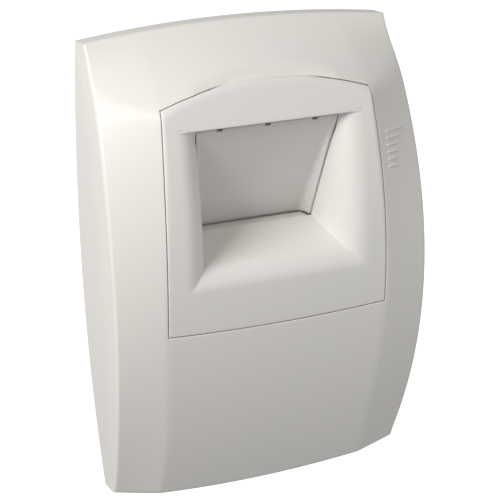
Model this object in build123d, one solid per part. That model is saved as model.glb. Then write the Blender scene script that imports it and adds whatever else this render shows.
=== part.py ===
"""Wall-mounted ventilation terminal with a motor-driven shutter and a boost timer inside.

Frame: X to the right, Z up, the front of the object faces -Y and the wall is the plane y = 0.
The origin is on the axis of the duct spigot, in the wall plane.
A place on the side profile is written as (depth, height): depth is measured from the wall
towards the room, height from the middle of the body.
"""
from build123d import *
import math
import os

os.makedirs("parts", exist_ok=True)

# ---- body outline, seen from the front ----
MIDDLE_Z = -35.0           # middle of the body, below the spigot axis
CORNER_X = 73.4            # half width at the corners
CORNER_Z = 106.0           # half height at the corners
SIDE_BULGE = 4.1           # how far the side arcs stand out
TOP_BULGE = 4.6
BOTTOM_BULGE = 6.0
WALL = 2.2                 # moulded wall of the cover

# ---- side profiles of the cover ----
RIDGE_D = 43.1             # depth of the side walls at mid height
RIDGE_R = 196.2            # radius of their arched front edge
BAND_D = 49.3              # centre band: depth, height and radius of its crown
BAND_Z = 20.2
BAND_R = 275.0
BEVEL_HEIGHTS = (-106.0, 0.0, 60.0)
BEVEL_SLOPES = (0.31, 0.23, 0.49)   # depth lost per mm of width, at those heights
TOP_EDGE_D = 12.0          # depth of the top edge
SHOULDER_SLOPE = 1.245     # how fast the shoulder falls to the top edge, on the centre line
SHOULDER_SLOPE_SIDE = 0.6  # and at SIDE_X
SIDE_X = 80.0

# ---- removable recess panel ----
PANEL_TOP_X = 50.1
PANEL_MIDDLE_X = 52.8
PANEL_BOTTOM_X = 53.5
PANEL_TOP_Z = 78.5         # height of the two upper corners
PANEL_MIDDLE_Z = 28.0
PANEL_BOTTOM_Z = -22.0
PANEL_ARCH = 8.7           # rise of the arched top edge
PANEL_BOW = 1.7            # drop of the bottom edge
PANEL_GAP = 0.4
PANEL_SKIN = 1.9
LEDGE_T = 1.6
LEDGE_W = 2.6
BAR_COUNT = 6              # raised bars on the right bevel
BAR_X = 56.7
BAR_TOP_Z = 57.5
BAR_PITCH = 3.18
BAR_W = 1.2
BAR_RISE = 0.5
BAR_LONGEST = 11.0
BAR_SHORTEST = 4.6
BAR_RATIO = 0.62
SCOOP_X = 0.0              # finger scoop above the panel
SCOOP_Z = 88.0
SCOOP_HALF_W = 34.0
SCOOP_HALF_H = 9.0
SCOOP_DEPTH = 4.5

# ---- recess and the slanted aperture behind it ----
HEADER_Z = 68.4
LIP_Z = -2.6
LIP_R = 11.0               # radius that blends the floor into the face
FLARE_R = 12.0             # radius that blends the side walls into the face
MOUTH_X = 45.0
HOPPER_T = 1.8
HOPPER_FLANGE_X = 33.9
HOPPER_FLANGE_T = 1.5
APERTURE_BOTTOM = (19.8, 16.6)
APERTURE_TOP = (42.4, 68.4)
APERTURE_X = 29.4          # half width at the bottom of the aperture
WALL_TAPER = 0.189
TONGUE_X = 27.6            # the floor of the recess runs on under the flap
TONGUE_D = 11.3
TONGUE_T = 1.4

# ---- shutter flap ----
PIVOT = (10.0, 18.8)       # depth and height of the hinge line
FLAP_FOOT = (10.6, 17.0)   # front face of the plate, bottom and top
FLAP_TIP = (41.2, 67.4)
FLAP_WING = (18.9, 17.2)   # lower front corner of the side wings
FLAP_FOOT_X = 28.6
FLAP_TIP_X = 32.4
FLAP_T = 1.6
WING_T = 1.2
EAR_R = 2.6
EAR_X = 33.6
AXLE_R = 1.6
BUSH_R = 2.8
NOTCH_XS = (-23.0, 0.0, 23.0)   # three small notches in the tip of the flap
NOTCH_HALF = 1.3
NOTCH_DEEP = 2.0

# ---- base, duct and shutter frame ----
BASE_T = 2.5
BASE_INSET = 3.0
DUCT_Z = -MIDDLE_Z         # height of the spigot axis above the middle of the body
SPIGOT_R = 62.0            # outside radius, for a 125 mm duct
SPIGOT_T = 2.0
SHOULDER_R = 64.0          # step of the spigot that centres it in the base
SPIGOT_LENGTH = 45.0
SPIGOT_FLANGE_T = 1.5
FLANGE_R = 69.0
FLANGE_SCREW_R = 65.5
SHUTTER_FLANGE_T = 2.0
FRAME_X = 34.4             # inner half width of the shutter frame
FRAME_T = 2.0
FRAME_FLOOR_Z = 14.4
FRAME_TOP_Z = 90.0
FRAME_FRONT_Z = 71.6
FRAME_FRONT_D = 42.0
FRAME_MAX_D = 41.6         # keeps the frame clear of the panel's skin
SCREW_X = 58.0             # four wall screws on a rectangle
SCREW_Z = 88.0
SCREW_HOLE_R = 2.25

# ---- drive ----
GEAR_MODULE = 1.0
SECTOR_TEETH = 28
PINION_TEETH = 10
GEAR_T = 4.0
GEAR_X = 38.2              # inner face of both gears
MOTOR_OFFSET_D = 17.85     # the motor shaft stands this much further forward than the pivot
SHAFT_R = 1.5
BRACKET_X = 42.6
BRACKET_T = 1.2
GEARBOX_L = 10.0
MOTOR_R = 6.0
MOTOR_L = 14.0

# ---- electronics and cells ----
TRAY_X = 44.0
TRAY_TOP_Z = -54.6
TRAY_BOTTOM_Z = -98.0
TRAY_T = 1.5
TRAY_D = 12.0
LID_D = 18.6
BOARD_D = 8.0
BOARD_T = 1.6
BOARD_MARGIN = 2.4
CELL_R = 7.2
CELL_L = 50.0
CELL_Z = -44.3
CELL_D = 12.0
HOLDER_X = 56.0
TRIMMER_X = 26.0
TRIMMER_Z = -70.0
TRIMMER_R = 3.2

# ---- small parts on the base ----
BOSS_R = 5.0
BOSS_T = 1.2
CLIP_Z = 58.0
CLIP_W = 10.0
POST_X = 67.6
POST_T = 2.4
POST_D = 14.0
GROMMET_X = 53.0
GROMMET_Z = -76.0
GROMMET_R = 4.5
GROMMET_BORE_R = 2.5
GASKET_T = 1.2
PILOT_D = 1.4              # depth of the blind end of the flange screw holes
GASKET_R = 69.5
GASKET_INNER_R = 65.2
SEAL_Y = 28.0              # how far behind the wall plane the duct seal starts
SEAL_W = 6.0
SEAL_GROOVE = 0.8
SEAL_LIP = 0.25
LINING_START = 10.0
LINING_END = 42.0
LINING_T = 9.0
AXLE_GRIP = 4.6            # length of an axle inside its ear
BUSH_FLANGE_T = 1.0
HUB_R = 3.6

FAR = 130.0                # depth well in front of everything
REACH = 125.0              # height past both ends of the body

DUCT_FRONT_D = BASE_T + SPIGOT_FLANGE_T
FRAME_D = DUCT_FRONT_D + SHUTTER_FLANGE_T
CENTRE_DISTANCE = GEAR_MODULE * (SECTOR_TEETH + PINION_TEETH) / 2
MOTOR_AXIS = (PIVOT[0] + MOTOR_OFFSET_D,
              PIVOT[1] - math.sqrt(CENTRE_DISTANCE ** 2 - MOTOR_OFFSET_D ** 2))


# ---- points, faces and plain solids ----
def place(x, depth, height):
    """Point in the part's frame from a place on the side profile."""
    return Vector(x, -depth, height + MIDDLE_Z)


def outline_face(points, where):
    """Closed face; an item made of two points is an arc through the first to the second."""
    edges = []
    here = points[0]
    for item in points[1:]:
        if isinstance(item[0], tuple):
            middle, end = item
            edges.append(Edge.make_three_point_arc(where(here), where(middle), where(end)))
        else:
            end = item
            edges.append(Edge.make_line(where(here), where(end)))
        here = end
    if math.dist(here, points[0]) > 0.001:
        edges.append(Edge.make_line(where(here), where(points[0])))
    return Face(Wire(edges))


def side_face(points, x):
    """Face across the object at one x, from (depth, height) points."""
    return outline_face(points, lambda p: place(x, p[0], p[1]))


def side_solid(points, x0, x1):
    """Solid with one side profile, from x0 to x1."""
    return extrude(side_face(points, x0), amount=x1 - x0, dir=(1, 0, 0))


def front_solid(points, depth0, depth1):
    """Solid with one front outline of (x, height) points, between two depths."""
    face = outline_face(points, lambda p: place(p[0], depth0, p[1]))
    return extrude(face, amount=depth1 - depth0, dir=(0, -1, 0))


def block(x0, x1, depth0, depth1, height0, height1):
    """Plain block."""
    corners = [(depth0, height0), (depth1, height0), (depth1, height1), (depth0, height1)]
    return side_solid(corners, x0, x1)


def rod_x(x0, x1, depth, height, radius):
    """Cylinder along X."""
    plane = Plane(origin=place(x0, depth, height), x_dir=(0, 1, 0), z_dir=(1, 0, 0))
    return plane * Cylinder(radius, x1 - x0, align=(Align.CENTER, Align.CENTER, Align.MIN))


def rod_y(x, height, depth0, depth1, radius):
    """Cylinder along the duct axis, between two depths."""
    plane = Plane(origin=place(x, depth0, height), x_dir=(1, 0, 0), z_dir=(0, -1, 0))
    return plane * Cylinder(radius, depth1 - depth0, align=(Align.CENTER, Align.CENTER, Align.MIN))


def ring_y(depth0, depth1, outer, inner):
    """Ring about the duct axis."""
    return rod_y(0, DUCT_Z, depth0, depth1, outer) - rod_y(0, DUCT_Z, depth0 - 1, depth1 + 1, inner)


def screw(x, height, depth, shaft_r, length, head_r, head_t):
    """Pan-head screw that points to the wall, with a cross slot; depth is under its head."""
    body = rod_y(x, height, depth - length, depth, shaft_r) + rod_y(x, height, depth, depth + head_t, head_r)
    slot = head_r * 0.6
    width = head_r * 0.14
    top = depth + head_t
    body -= block(x - slot, x + slot, top - 0.6 * head_t, top + 1, height - width, height + width)
    body -= block(x - width, x + width, top - 0.6 * head_t, top + 1, height - slot, height + slot)
    return body


def mirrored(shape):
    """The same shape on the other side of the centre plane."""
    return mirror(shape, about=Plane.YZ)


def save(name, shape):
    """Write one named piece."""
    shape.label = name
    export_step(shape, f"parts/{name}.step")


# ---- outer form of the cover ----
def barrel(inset):
    """Front outline of the body: four arcs that stand out between the corners."""
    x = CORNER_X - inset
    z = CORNER_Z - inset
    return [
        (-x, -z),
        ((0, -z - BOTTOM_BULGE), (x, -z)),
        ((x + SIDE_BULGE, 0), (x, z)),
        ((0, z + TOP_BULGE), (-x, z)),
        ((-x - SIDE_BULGE, 0), (-x, -z)),
    ]


def band_depth(height):
    """Depth of the arched centre band."""
    return BAND_D - BAND_R + math.sqrt(BAND_R ** 2 - (height - BAND_Z) ** 2)


def ridge_depth(height):
    """Depth of the front edge of the side walls."""
    return RIDGE_D - RIDGE_R + math.sqrt(RIDGE_R ** 2 - height ** 2)


def half_width(height):
    """Half width of the body."""
    return CORNER_X + SIDE_BULGE * (1 - (height / CORNER_Z) ** 2)


def bevel_depth(x, height):
    """Depth of a side bevel: a parabola in height through its three stations."""
    total = 0.0
    for i, station in enumerate(BEVEL_HEIGHTS):
        value = ridge_depth(station) - BEVEL_SLOPES[i] * (x - half_width(station))
        for j, other in enumerate(BEVEL_HEIGHTS):
            if j != i:
                value *= (height - other) / (station - other)
        total += value
    return total


def shoulder_face(x, inset):
    """Space in front of the shoulder at one x."""
    fall = SHOULDER_SLOPE + (SHOULDER_SLOPE_SIDE - SHOULDER_SLOPE) * (x / SIDE_X) ** 2
    edge = CORNER_Z + TOP_BULGE * (1 - (x / CORNER_X) ** 2)
    above = 15.0
    below = 70.0
    return side_face([
        (TOP_EDGE_D - inset - above * fall, edge + above),
        (TOP_EDGE_D - inset + below * fall, edge - below),
        (FAR, edge - below),
        (FAR, edge + above)], x)


def body_form(inset, back):
    """Solid inside the outer surface, everywhere about `inset` below it."""
    form = front_solid(barrel(inset), back, 60.0)
    arc = [(band_depth(z) - inset, z) for z in (-REACH, 0.0, REACH)]
    form -= side_solid([arc[0], (arc[1], arc[2]), (FAR, REACH), (FAR, -REACH)], -SIDE_X, SIDE_X)
    sections = []
    for x in (44.0, 92.0):
        arc = [(bevel_depth(x, z) - inset * 1.06, z) for z in (-REACH, 0.0, REACH)]
        sections.append(side_face([arc[0], (arc[1], arc[2]), (FAR, REACH), (FAR, -REACH)], x))
    bevel = loft(sections, ruled=True)
    form -= bevel
    form -= mirrored(bevel)
    form -= loft([shoulder_face(x, inset * 1.5) for x in (-SIDE_X, 0.0, SIDE_X)])
    return form


def panel_outline(grow):
    """Front outline of the recess panel."""
    top = PANEL_TOP_Z + grow
    bottom = PANEL_BOTTOM_Z - grow
    side = (PANEL_MIDDLE_X + grow, PANEL_MIDDLE_Z)
    return [
        (-PANEL_BOTTOM_X - grow, bottom),
        ((0, bottom - PANEL_BOW), (PANEL_BOTTOM_X + grow, bottom)),
        (side, (PANEL_TOP_X + grow, top)),
        ((0, top + PANEL_ARCH), (-PANEL_TOP_X - grow, top)),
        ((-side[0], side[1]), (-PANEL_BOTTOM_X - grow, bottom)),
    ]


def panel_prism(grow):
    """The panel's outline through the whole depth."""
    return front_solid(panel_outline(grow), 1.0, 62.0)


# ---- recess ----
APERTURE_L = math.dist(APERTURE_BOTTOM, APERTURE_TOP)
APERTURE_DIR = ((APERTURE_TOP[0] - APERTURE_BOTTOM[0]) / APERTURE_L,
                (APERTURE_TOP[1] - APERTURE_BOTTOM[1]) / APERTURE_L)
APERTURE_NORMAL = (APERTURE_DIR[1], -APERTURE_DIR[0])


def on_aperture(along, out):
    """(depth, height) point: along the slanted aperture from its bottom, and out in front of it."""
    return (APERTURE_BOTTOM[0] + along * APERTURE_DIR[0] + out * APERTURE_NORMAL[0],
            APERTURE_BOTTOM[1] + along * APERTURE_DIR[1] + out * APERTURE_NORMAL[1])


def recess_solid(grow, behind):
    """The recess as a solid: a side profile and a plan, both widened by `grow`."""
    lip_d = band_depth(LIP_Z)
    centre = (lip_d - LIP_R, LIP_Z)
    radius = LIP_R - grow
    floor_angle = math.atan2(APERTURE_NORMAL[0], -APERTURE_NORMAL[1])

    def on_lip(angle):
        return (centre[0] + radius * math.cos(angle), centre[1] + radius * math.sin(angle))

    profile = [
        on_aperture(-grow, -behind),
        on_lip(floor_angle),
        (on_lip(floor_angle / 2), on_lip(0)),
        (62.0, LIP_Z),
        (62.0, HEADER_Z + grow),
        (on_aperture(APERTURE_L + grow / APERTURE_DIR[1], -behind)[0], HEADER_Z + grow),
    ]
    side = side_solid(profile, -60.0, 60.0)
    flare = FLARE_R - grow
    face_d = lip_d
    lean = (band_depth(HEADER_Z) - lip_d) / (HEADER_Z - LIP_Z)
    low = LIP_Z - 12.0
    high = HEADER_Z + 12.0

    def wall_x(depth):
        return APERTURE_X + grow + WALL_TAPER * (depth - APERTURE_BOTTOM[0])

    turn_d = face_d - flare - (grow if grow else 0.0)
    turn = 0.29
    half = [
        (wall_x(0.0), 0.0),
        (wall_x(turn_d), turn_d),
        ((MOUTH_X - (MOUTH_X - wall_x(turn_d)) * 0.71, turn_d + (face_d - turn_d) * (1 - turn)),
         (MOUTH_X, face_d)),
        (MOUTH_X, 64.0),
    ]
    other = [(-MOUTH_X, 64.0), (-MOUTH_X, face_d),
             ((-half[2][0][0], half[2][0][1]), (-half[1][0], half[1][1])),
             (-half[0][0], half[0][1])]
    shift = lean * (low - LIP_Z)
    plan = outline_face(half + other, lambda p: place(p[0], p[1] + shift, low))
    rise = Vector(0, -lean * (high - low), high - low)
    return side & extrude(plan, amount=rise.length, dir=rise.normalized())


def aperture_front(out):
    """Everything in front of the slanted plane."""
    return side_solid([on_aperture(-80, out), on_aperture(90, out), on_aperture(90, out + 90),
                       on_aperture(-80, out + 90)], -90.0, 90.0)


# ---- cover and panel ----
def front_cover():
    """Moulded shell, open at the back, with a ledge round the panel opening."""
    shell = body_form(0, 0.0) - body_form(WALL, -1.0)
    ledge = (body_form(WALL, 0.0) - body_form(WALL + LEDGE_T, -1.0)) & panel_prism(LEDGE_W)
    cover = shell - panel_prism(PANEL_GAP) + (ledge - panel_prism(-LEDGE_W))
    scoop_d = band_depth(SCOOP_Z) + 1.0

    def bowl(extra):
        plane = Plane(origin=place(SCOOP_X, scoop_d, SCOOP_Z))
        ball = Sphere(1.0)
        return plane * scale(ball, by=(SCOOP_HALF_W + extra, SCOOP_DEPTH + 1.0 + extra, SCOOP_HALF_H + extra))

    backing = (bowl(WALL) & body_form(0.3, 0.0)) - panel_prism(PANEL_GAP)
    return cover + backing - bowl(0)


def recess_panel():
    """Removable panel: curved face, hopper and the flange that meets the shutter frame."""
    face = (body_form(0, 2.0) - body_form(PANEL_SKIN, 0.0)) & panel_prism(0)
    outside = recess_solid(HOPPER_T, 0.0) & body_form(0.6, 0.0)
    flange = side_solid([on_aperture(-4.0, 0), on_aperture(APERTURE_L, 0),
                         on_aperture(APERTURE_L, HOPPER_FLANGE_T), on_aperture(-4.0, HOPPER_FLANGE_T)],
                        -HOPPER_FLANGE_X, HOPPER_FLANGE_X)
    panel = face + outside + flange - recess_solid(0, 3.0)
    floor_z = APERTURE_BOTTOM[1]
    tongue = block(-TONGUE_X, TONGUE_X, TONGUE_D, APERTURE_BOTTOM[0] + 0.6, floor_z - TONGUE_T, floor_z)
    return panel + tongue


def bevel_bars():
    """Small raised bars on the right bevel, the longest at the top."""
    bars = []
    for i in range(BAR_COUNT):
        height = BAR_TOP_Z - BAR_PITCH * i
        length = BAR_SHORTEST + (BAR_LONGEST - BAR_SHORTEST) * BAR_RATIO ** i
        bars.append(block(BAR_X, BAR_X + length, 20.0, 60.0, height - BAR_W / 2, height + BAR_W / 2))
    return Compound(bars) & (body_form(-BAR_RISE, 2.0) - body_form(0.2, 0.0))


# ---- base and duct ----
def base_plate():
    """Rear plate with the duct hole, screw holes, gasket groove and posts for the cover clips."""
    plate = front_solid(barrel(BASE_INSET), 0.0, BASE_T)
    plate -= rod_y(0, DUCT_Z, -1, BASE_T + 1, SHOULDER_R + 0.15)
    plate -= ring_y(-1.0, GASKET_T, GASKET_R, GASKET_INNER_R)
    for x in (-SCREW_X, SCREW_X):
        for z in (-SCREW_Z, SCREW_Z):
            plate += rod_y(x, z, BASE_T, BASE_T + BOSS_T, BOSS_R)
            plate -= rod_y(x, z, -1, BASE_T + BOSS_T + 1, SCREW_HOLE_R)
        for z in (-CLIP_Z, CLIP_Z):
            side = 1 if x > 0 else -1
            near, far = sorted((side * POST_X, side * (POST_X + POST_T)))
            plate += block(near, far, BASE_T, POST_D, z - CLIP_W / 2, z + CLIP_W / 2)
    plate -= rod_y(GROMMET_X, GROMMET_Z, -1, BASE_T + 1, GROMMET_R)
    for x, z in flange_screws():
        plate -= rod_y(x, z, PILOT_D, BASE_T + 1, 1.2)
    return plate


def flange_screws():
    """Places of the four screws that hold the duct parts to the base."""
    places = []
    for angle in (45, 135, 225, 315):
        a = math.radians(angle)
        places.append((FLANGE_SCREW_R * math.cos(a), DUCT_Z + FLANGE_SCREW_R * math.sin(a)))
    return places


def duct_spigot():
    """Round spigot that enters the duct, with its flange and a seal groove."""
    tube = ring_y(-SPIGOT_LENGTH, DUCT_FRONT_D, SPIGOT_R, SPIGOT_R - SPIGOT_T)
    tube += ring_y(0.0, BASE_T + 0.5, SHOULDER_R, SPIGOT_R - SPIGOT_T)
    flange = ring_y(BASE_T, DUCT_FRONT_D, FLANGE_R, SPIGOT_R - SPIGOT_T)
    groove = ring_y(-SEAL_Y - SEAL_W, -SEAL_Y, SPIGOT_R + 5, SPIGOT_R - SEAL_GROOVE)
    spigot = tube + flange - groove
    for x, z in flange_screws():
        spigot -= rod_y(x, z, 0, DUCT_FRONT_D + 1, 1.6)
    return spigot


def spigot_seal():
    """Rubber ring in the groove, with its two lips as they lie inside a duct."""
    seal = ring_y(-SEAL_Y - SEAL_W, -SEAL_Y, SPIGOT_R, SPIGOT_R - SEAL_GROOVE)
    for start in (0.6, 3.6):
        seal += ring_y(-SEAL_Y - start - 1.2, -SEAL_Y - start, SPIGOT_R + SEAL_LIP, SPIGOT_R - 0.2)
    return seal


def acoustic_lining():
    """Open-cell foam sleeve inside the spigot."""
    return ring_y(-LINING_END, -LINING_START, SPIGOT_R - SPIGOT_T, SPIGOT_R - SPIGOT_T - LINING_T)


# ---- shutter frame, flap and hinge ----
def frame_profile(inset):
    """Side profile of the shutter frame's duct."""
    top_start = (FRAME_D, FRAME_TOP_Z - inset)
    along = (FRAME_FRONT_Z - APERTURE_BOTTOM[1]) / APERTURE_DIR[1]
    front = on_aperture(along, -0.5)
    foot = on_aperture(-(APERTURE_BOTTOM[1] - FRAME_FLOOR_Z), -0.5)
    return [
        (FRAME_D, FRAME_FLOOR_Z - FRAME_T + inset),
        (foot[0], FRAME_FLOOR_Z - FRAME_T + inset),
        (front[0], front[1] - inset),
        top_start,
    ]


def shutter_frame():
    """Flange on the spigot, with a slanted box duct that carries the flap."""
    opening_x = FRAME_X
    frame = rod_y(0, DUCT_Z, DUCT_FRONT_D, FRAME_D, FLANGE_R)
    walls = side_solid(frame_profile(0), -opening_x - FRAME_T, opening_x + FRAME_T)
    cavity = block(-opening_x, opening_x, 0, 60, FRAME_FLOOR_Z, FRAME_TOP_Z - FRAME_T)
    lid = side_solid([(FRAME_D - 8, FRAME_TOP_Z + 30), (FRAME_D, FRAME_TOP_Z - FRAME_T),
                      (FRAME_FRONT_D, FRAME_FRONT_Z - FRAME_T), (FRAME_FRONT_D + 30, FRAME_FRONT_Z - 20),
                      (FRAME_FRONT_D + 30, FRAME_TOP_Z + 30)], -60, 60)
    frame += walls
    frame -= cavity - (lid & block(-60, 60, FRAME_D, 90, 0, 130))
    frame -= aperture_front(-0.5)
    frame -= block(-60, 60, FRAME_MAX_D, 90, 0, 130)
    for side in (-1, 1):
        near, far = sorted((side * (FRAME_X - 1), side * (FRAME_X + FRAME_T + 1)))
        frame -= rod_x(near, far, PIVOT[0], PIVOT[1], BUSH_R)
    for x, z in flange_screws():
        frame -= rod_y(x, z, DUCT_FRONT_D - 1, FRAME_D + 1, 1.6)
    return frame


def pivot_bushes():
    """Two flanged bushes in the side walls of the frame."""
    bush = rod_x(FRAME_X, FRAME_X + FRAME_T + BUSH_FLANGE_T, PIVOT[0], PIVOT[1], BUSH_R)
    bush += rod_x(FRAME_X + FRAME_T, FRAME_X + FRAME_T + BUSH_FLANGE_T, PIVOT[0], PIVOT[1], BUSH_R + 1)
    bush -= rod_x(FRAME_X - 1, FRAME_X + FRAME_T + 2, PIVOT[0], PIVOT[1], AXLE_R + 0.05)
    return [bush, mirrored(bush)]


FLAP_L = math.dist(FLAP_FOOT, FLAP_TIP)
FLAP_DIR = ((FLAP_TIP[0] - FLAP_FOOT[0]) / FLAP_L, (FLAP_TIP[1] - FLAP_FOOT[1]) / FLAP_L)


def on_flap(along, back):
    """(depth, height) point: up the front face of the plate, and behind it."""
    return (FLAP_FOOT[0] + along * FLAP_DIR[0] - back * FLAP_DIR[1],
            FLAP_FOOT[1] + along * FLAP_DIR[1] + back * FLAP_DIR[0])


def flap_taper(inset):
    """Front outline of the flap, narrower at the foot, through the whole depth."""
    points = [(-FLAP_FOOT_X + inset, FLAP_FOOT[1] - 3), (FLAP_FOOT_X - inset, FLAP_FOOT[1] - 3),
              (FLAP_TIP_X - inset, FLAP_TIP[1] + 3), (-FLAP_TIP_X + inset, FLAP_TIP[1] + 3)]
    return front_solid(points, 0.0, 60.0)


def shutter_flap():
    """Tray-shaped flap: a plate, two tapering side wings, and an ear at each end of the hinge."""
    wedge = side_solid([on_flap(0, FLAP_T), on_flap(0, 0), FLAP_WING, on_flap(FLAP_L, 0),
                        on_flap(FLAP_L, FLAP_T)], -60, 60) & flap_taper(0)
    hollow = side_solid([on_flap(-9, 0), on_flap(FLAP_L + 9, 0), (FLAP_WING[0] + 40, FLAP_WING[1] - 9)],
                        -60, 60) & flap_taper(WING_T)
    flap = wedge - hollow
    for x in NOTCH_XS:
        notch = side_solid([on_flap(FLAP_L - NOTCH_DEEP, -1.0), on_flap(FLAP_L + 1.0, -1.0),
                            on_flap(FLAP_L + 1.0, FLAP_T + 0.5), on_flap(FLAP_L - NOTCH_DEEP, FLAP_T + 0.5)],
                           x - NOTCH_HALF, x + NOTCH_HALF)
        flap -= notch
    for side in (-1, 1):
        near, far = sorted((side * (FLAP_FOOT_X - 0.6), side * EAR_X))
        ear = rod_x(near, far, PIVOT[0], PIVOT[1], EAR_R)
        flap += ear
        near, far = sorted((side * (EAR_X - AXLE_GRIP), side * (EAR_X + 1)))
        flap -= rod_x(near, far, PIVOT[0], PIVOT[1], AXLE_R)
    return flap


def flap_axles():
    """Steel stub axles: a short one on the left, a long one that carries the sector gear."""
    right = rod_x(EAR_X - AXLE_GRIP, GEAR_X + GEAR_T, PIVOT[0], PIVOT[1], AXLE_R)
    left = rod_x(-FRAME_X - FRAME_T - 1.6, -EAR_X + AXLE_GRIP, PIVOT[0], PIVOT[1], AXLE_R)
    return [left, right]


def flap_seal():
    """Soft edging behind the tip of the flap."""
    strip = side_solid([on_flap(FLAP_L - 6, FLAP_T), on_flap(FLAP_L, FLAP_T),
                        on_flap(FLAP_L, FLAP_T + 1.2), on_flap(FLAP_L - 6, FLAP_T + 0.6)], -31.0, 31.0)
    return strip


# ---- drive ----
def toothed_face(teeth, first, count, hub_r, x, centre, phase):
    """Gear outline across X with straight-flanked teeth; `count` teeth from index `first`."""
    pitch_r = GEAR_MODULE * teeth / 2
    root_r = pitch_r - 1.2 * GEAR_MODULE
    tip_r = pitch_r + 0.75 * GEAR_MODULE
    step = 2 * math.pi / teeth

    def at(radius, angle):
        return (centre[0] + radius * math.cos(angle), centre[1] + radius * math.sin(angle))

    points = []
    for i in range(first, first + count):
        middle = phase + i * step
        points += [at(root_r, middle - 0.30 * step), at(pitch_r, middle - 0.19 * step),
                   at(tip_r, middle - 0.09 * step), at(tip_r, middle + 0.09 * step),
                   at(pitch_r, middle + 0.19 * step), at(root_r, middle + 0.30 * step)]
    if count < teeth:
        points.append(at(hub_r, phase + (first + count) * step))
        points.append(at(hub_r, phase + (first - 1) * step))
    return side_face(points, x)


MESH_ANGLE = math.atan2(MOTOR_AXIS[1] - PIVOT[1], MOTOR_AXIS[0] - PIVOT[0])


def sector_gear():
    """Toothed sector on the long axle."""
    blade = extrude(toothed_face(SECTOR_TEETH, -6, 9, 3.0, GEAR_X, PIVOT, MESH_ANGLE),
                    amount=GEAR_T, dir=(1, 0, 0))
    gear = blade + rod_x(GEAR_X, GEAR_X + GEAR_T, PIVOT[0], PIVOT[1], HUB_R)
    return gear - rod_x(GEAR_X - 1, GEAR_X + GEAR_T + 1, PIVOT[0], PIVOT[1], AXLE_R)


def motor_pinion():
    """Small gear on the motor shaft."""
    phase = MESH_ANGLE + math.pi + math.pi / PINION_TEETH
    blade = extrude(toothed_face(PINION_TEETH, 0, PINION_TEETH, 0, GEAR_X, MOTOR_AXIS, phase),
                    amount=GEAR_T, dir=(1, 0, 0))
    return blade - rod_x(GEAR_X - 1, GEAR_X + GEAR_T + 1, MOTOR_AXIS[0], MOTOR_AXIS[1], SHAFT_R)


def motor_shaft():
    """Output shaft of the gearbox."""
    return rod_x(GEAR_X, BRACKET_X + BRACKET_T, MOTOR_AXIS[0], MOTOR_AXIS[1], SHAFT_R)


def motor_bracket():
    """Folded plate on the shutter frame that holds the gearbox."""
    d, z = MOTOR_AXIS
    upright = block(BRACKET_X, BRACKET_X + BRACKET_T, FRAME_D, d + 7.5, z - 7.5, z + 7.5)
    foot = block(BRACKET_X, BRACKET_X + 14, FRAME_D, FRAME_D + BRACKET_T, z - 7.5, z + 7.5)
    bracket = upright + foot - rod_x(BRACKET_X - 1, BRACKET_X + 2, d, z, SHAFT_R + 0.6)
    for dz in (-5.4, 5.4):
        bracket -= rod_x(BRACKET_X - 1, BRACKET_X + 2, d + 5.4, z + dz, 0.8)
    return bracket


def gearbox():
    """Square gearbox of the shutter motor."""
    d, z = MOTOR_AXIS
    x0 = BRACKET_X + BRACKET_T
    box = block(x0, x0 + GEARBOX_L, d - 6.5, d + 6.5, z - 6.5, z + 6.5)
    for step in (2.5, 5.0, 7.5):
        box -= block(x0 + step, x0 + step + 0.5, d + 6.0, d + 8, z - 8, z + 8)
    for dz in (-5.4, 5.4):
        box -= rod_x(x0 - 1, x0 + 3, d + 5.4, z + dz, 0.8)
    return box


def drive_motor():
    """Round motor can with its end boss and two solder tags."""
    d, z = MOTOR_AXIS
    x0 = BRACKET_X + BRACKET_T + GEARBOX_L
    can = rod_x(x0, x0 + MOTOR_L, d, z, MOTOR_R) + rod_x(x0 + MOTOR_L, x0 + MOTOR_L + 1, d, z, 2.0)
    for dz in (-3.6, 3.0):
        can += block(x0 + MOTOR_L, x0 + MOTOR_L + 1.6, d - 0.8, d + 0.8, z + dz, z + dz + 0.6)
    return can


def bracket_screws():
    """Two small screws through the bracket into the gearbox."""
    d, z = MOTOR_AXIS
    pair = []
    for dz in (-5.4, 5.4):
        shank = rod_x(BRACKET_X, BRACKET_X + 4, d + 5.4, z + dz, 0.8)
        pair.append(shank + rod_x(BRACKET_X - 0.9, BRACKET_X, d + 5.4, z + dz, 1.4))
    return pair


# ---- electronics ----
def tray():
    """Open tray for the circuit board, with four posts."""
    box = block(-TRAY_X, TRAY_X, BASE_T, TRAY_D, TRAY_BOTTOM_Z, TRAY_TOP_Z)
    box -= block(-TRAY_X + TRAY_T, TRAY_X - TRAY_T, BASE_T + TRAY_T, TRAY_D + 1,
                 TRAY_BOTTOM_Z + TRAY_T, TRAY_TOP_Z - TRAY_T)
    box -= block(TRAY_X - TRAY_T - 1, TRAY_X + 1, TRAY_D - 3.5, TRAY_D + 1, GROMMET_Z - 3, GROMMET_Z + 3)
    for x, z in board_posts():
        box += rod_y(x, z, BASE_T + TRAY_T, BOARD_D, 2.4) - rod_y(x, z, BASE_T + TRAY_T, BOARD_D + 1, 0.9)
    return box


def board_posts():
    """Places of the four board screws."""
    x = TRAY_X - TRAY_T - BOARD_MARGIN - 2.4
    top = TRAY_TOP_Z - TRAY_T - BOARD_MARGIN - 1.6
    bottom = TRAY_BOTTOM_Z + TRAY_T + BOARD_MARGIN + 1.6
    return [(-x, bottom), (x, bottom), (x, top), (-x, top)]


def circuit_board():
    """Board of the boost timer."""
    x = TRAY_X - TRAY_T - 0.4
    board = block(-x, x, BOARD_D, BOARD_D + BOARD_T, TRAY_BOTTOM_Z + TRAY_T + 0.4, TRAY_TOP_Z - TRAY_T - 0.4)
    for px, pz in board_posts():
        board -= rod_y(px, pz, BOARD_D - 1, BOARD_D + 3, 1.1)
    return board


BOARD_TOP_D = BOARD_D + BOARD_T


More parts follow.
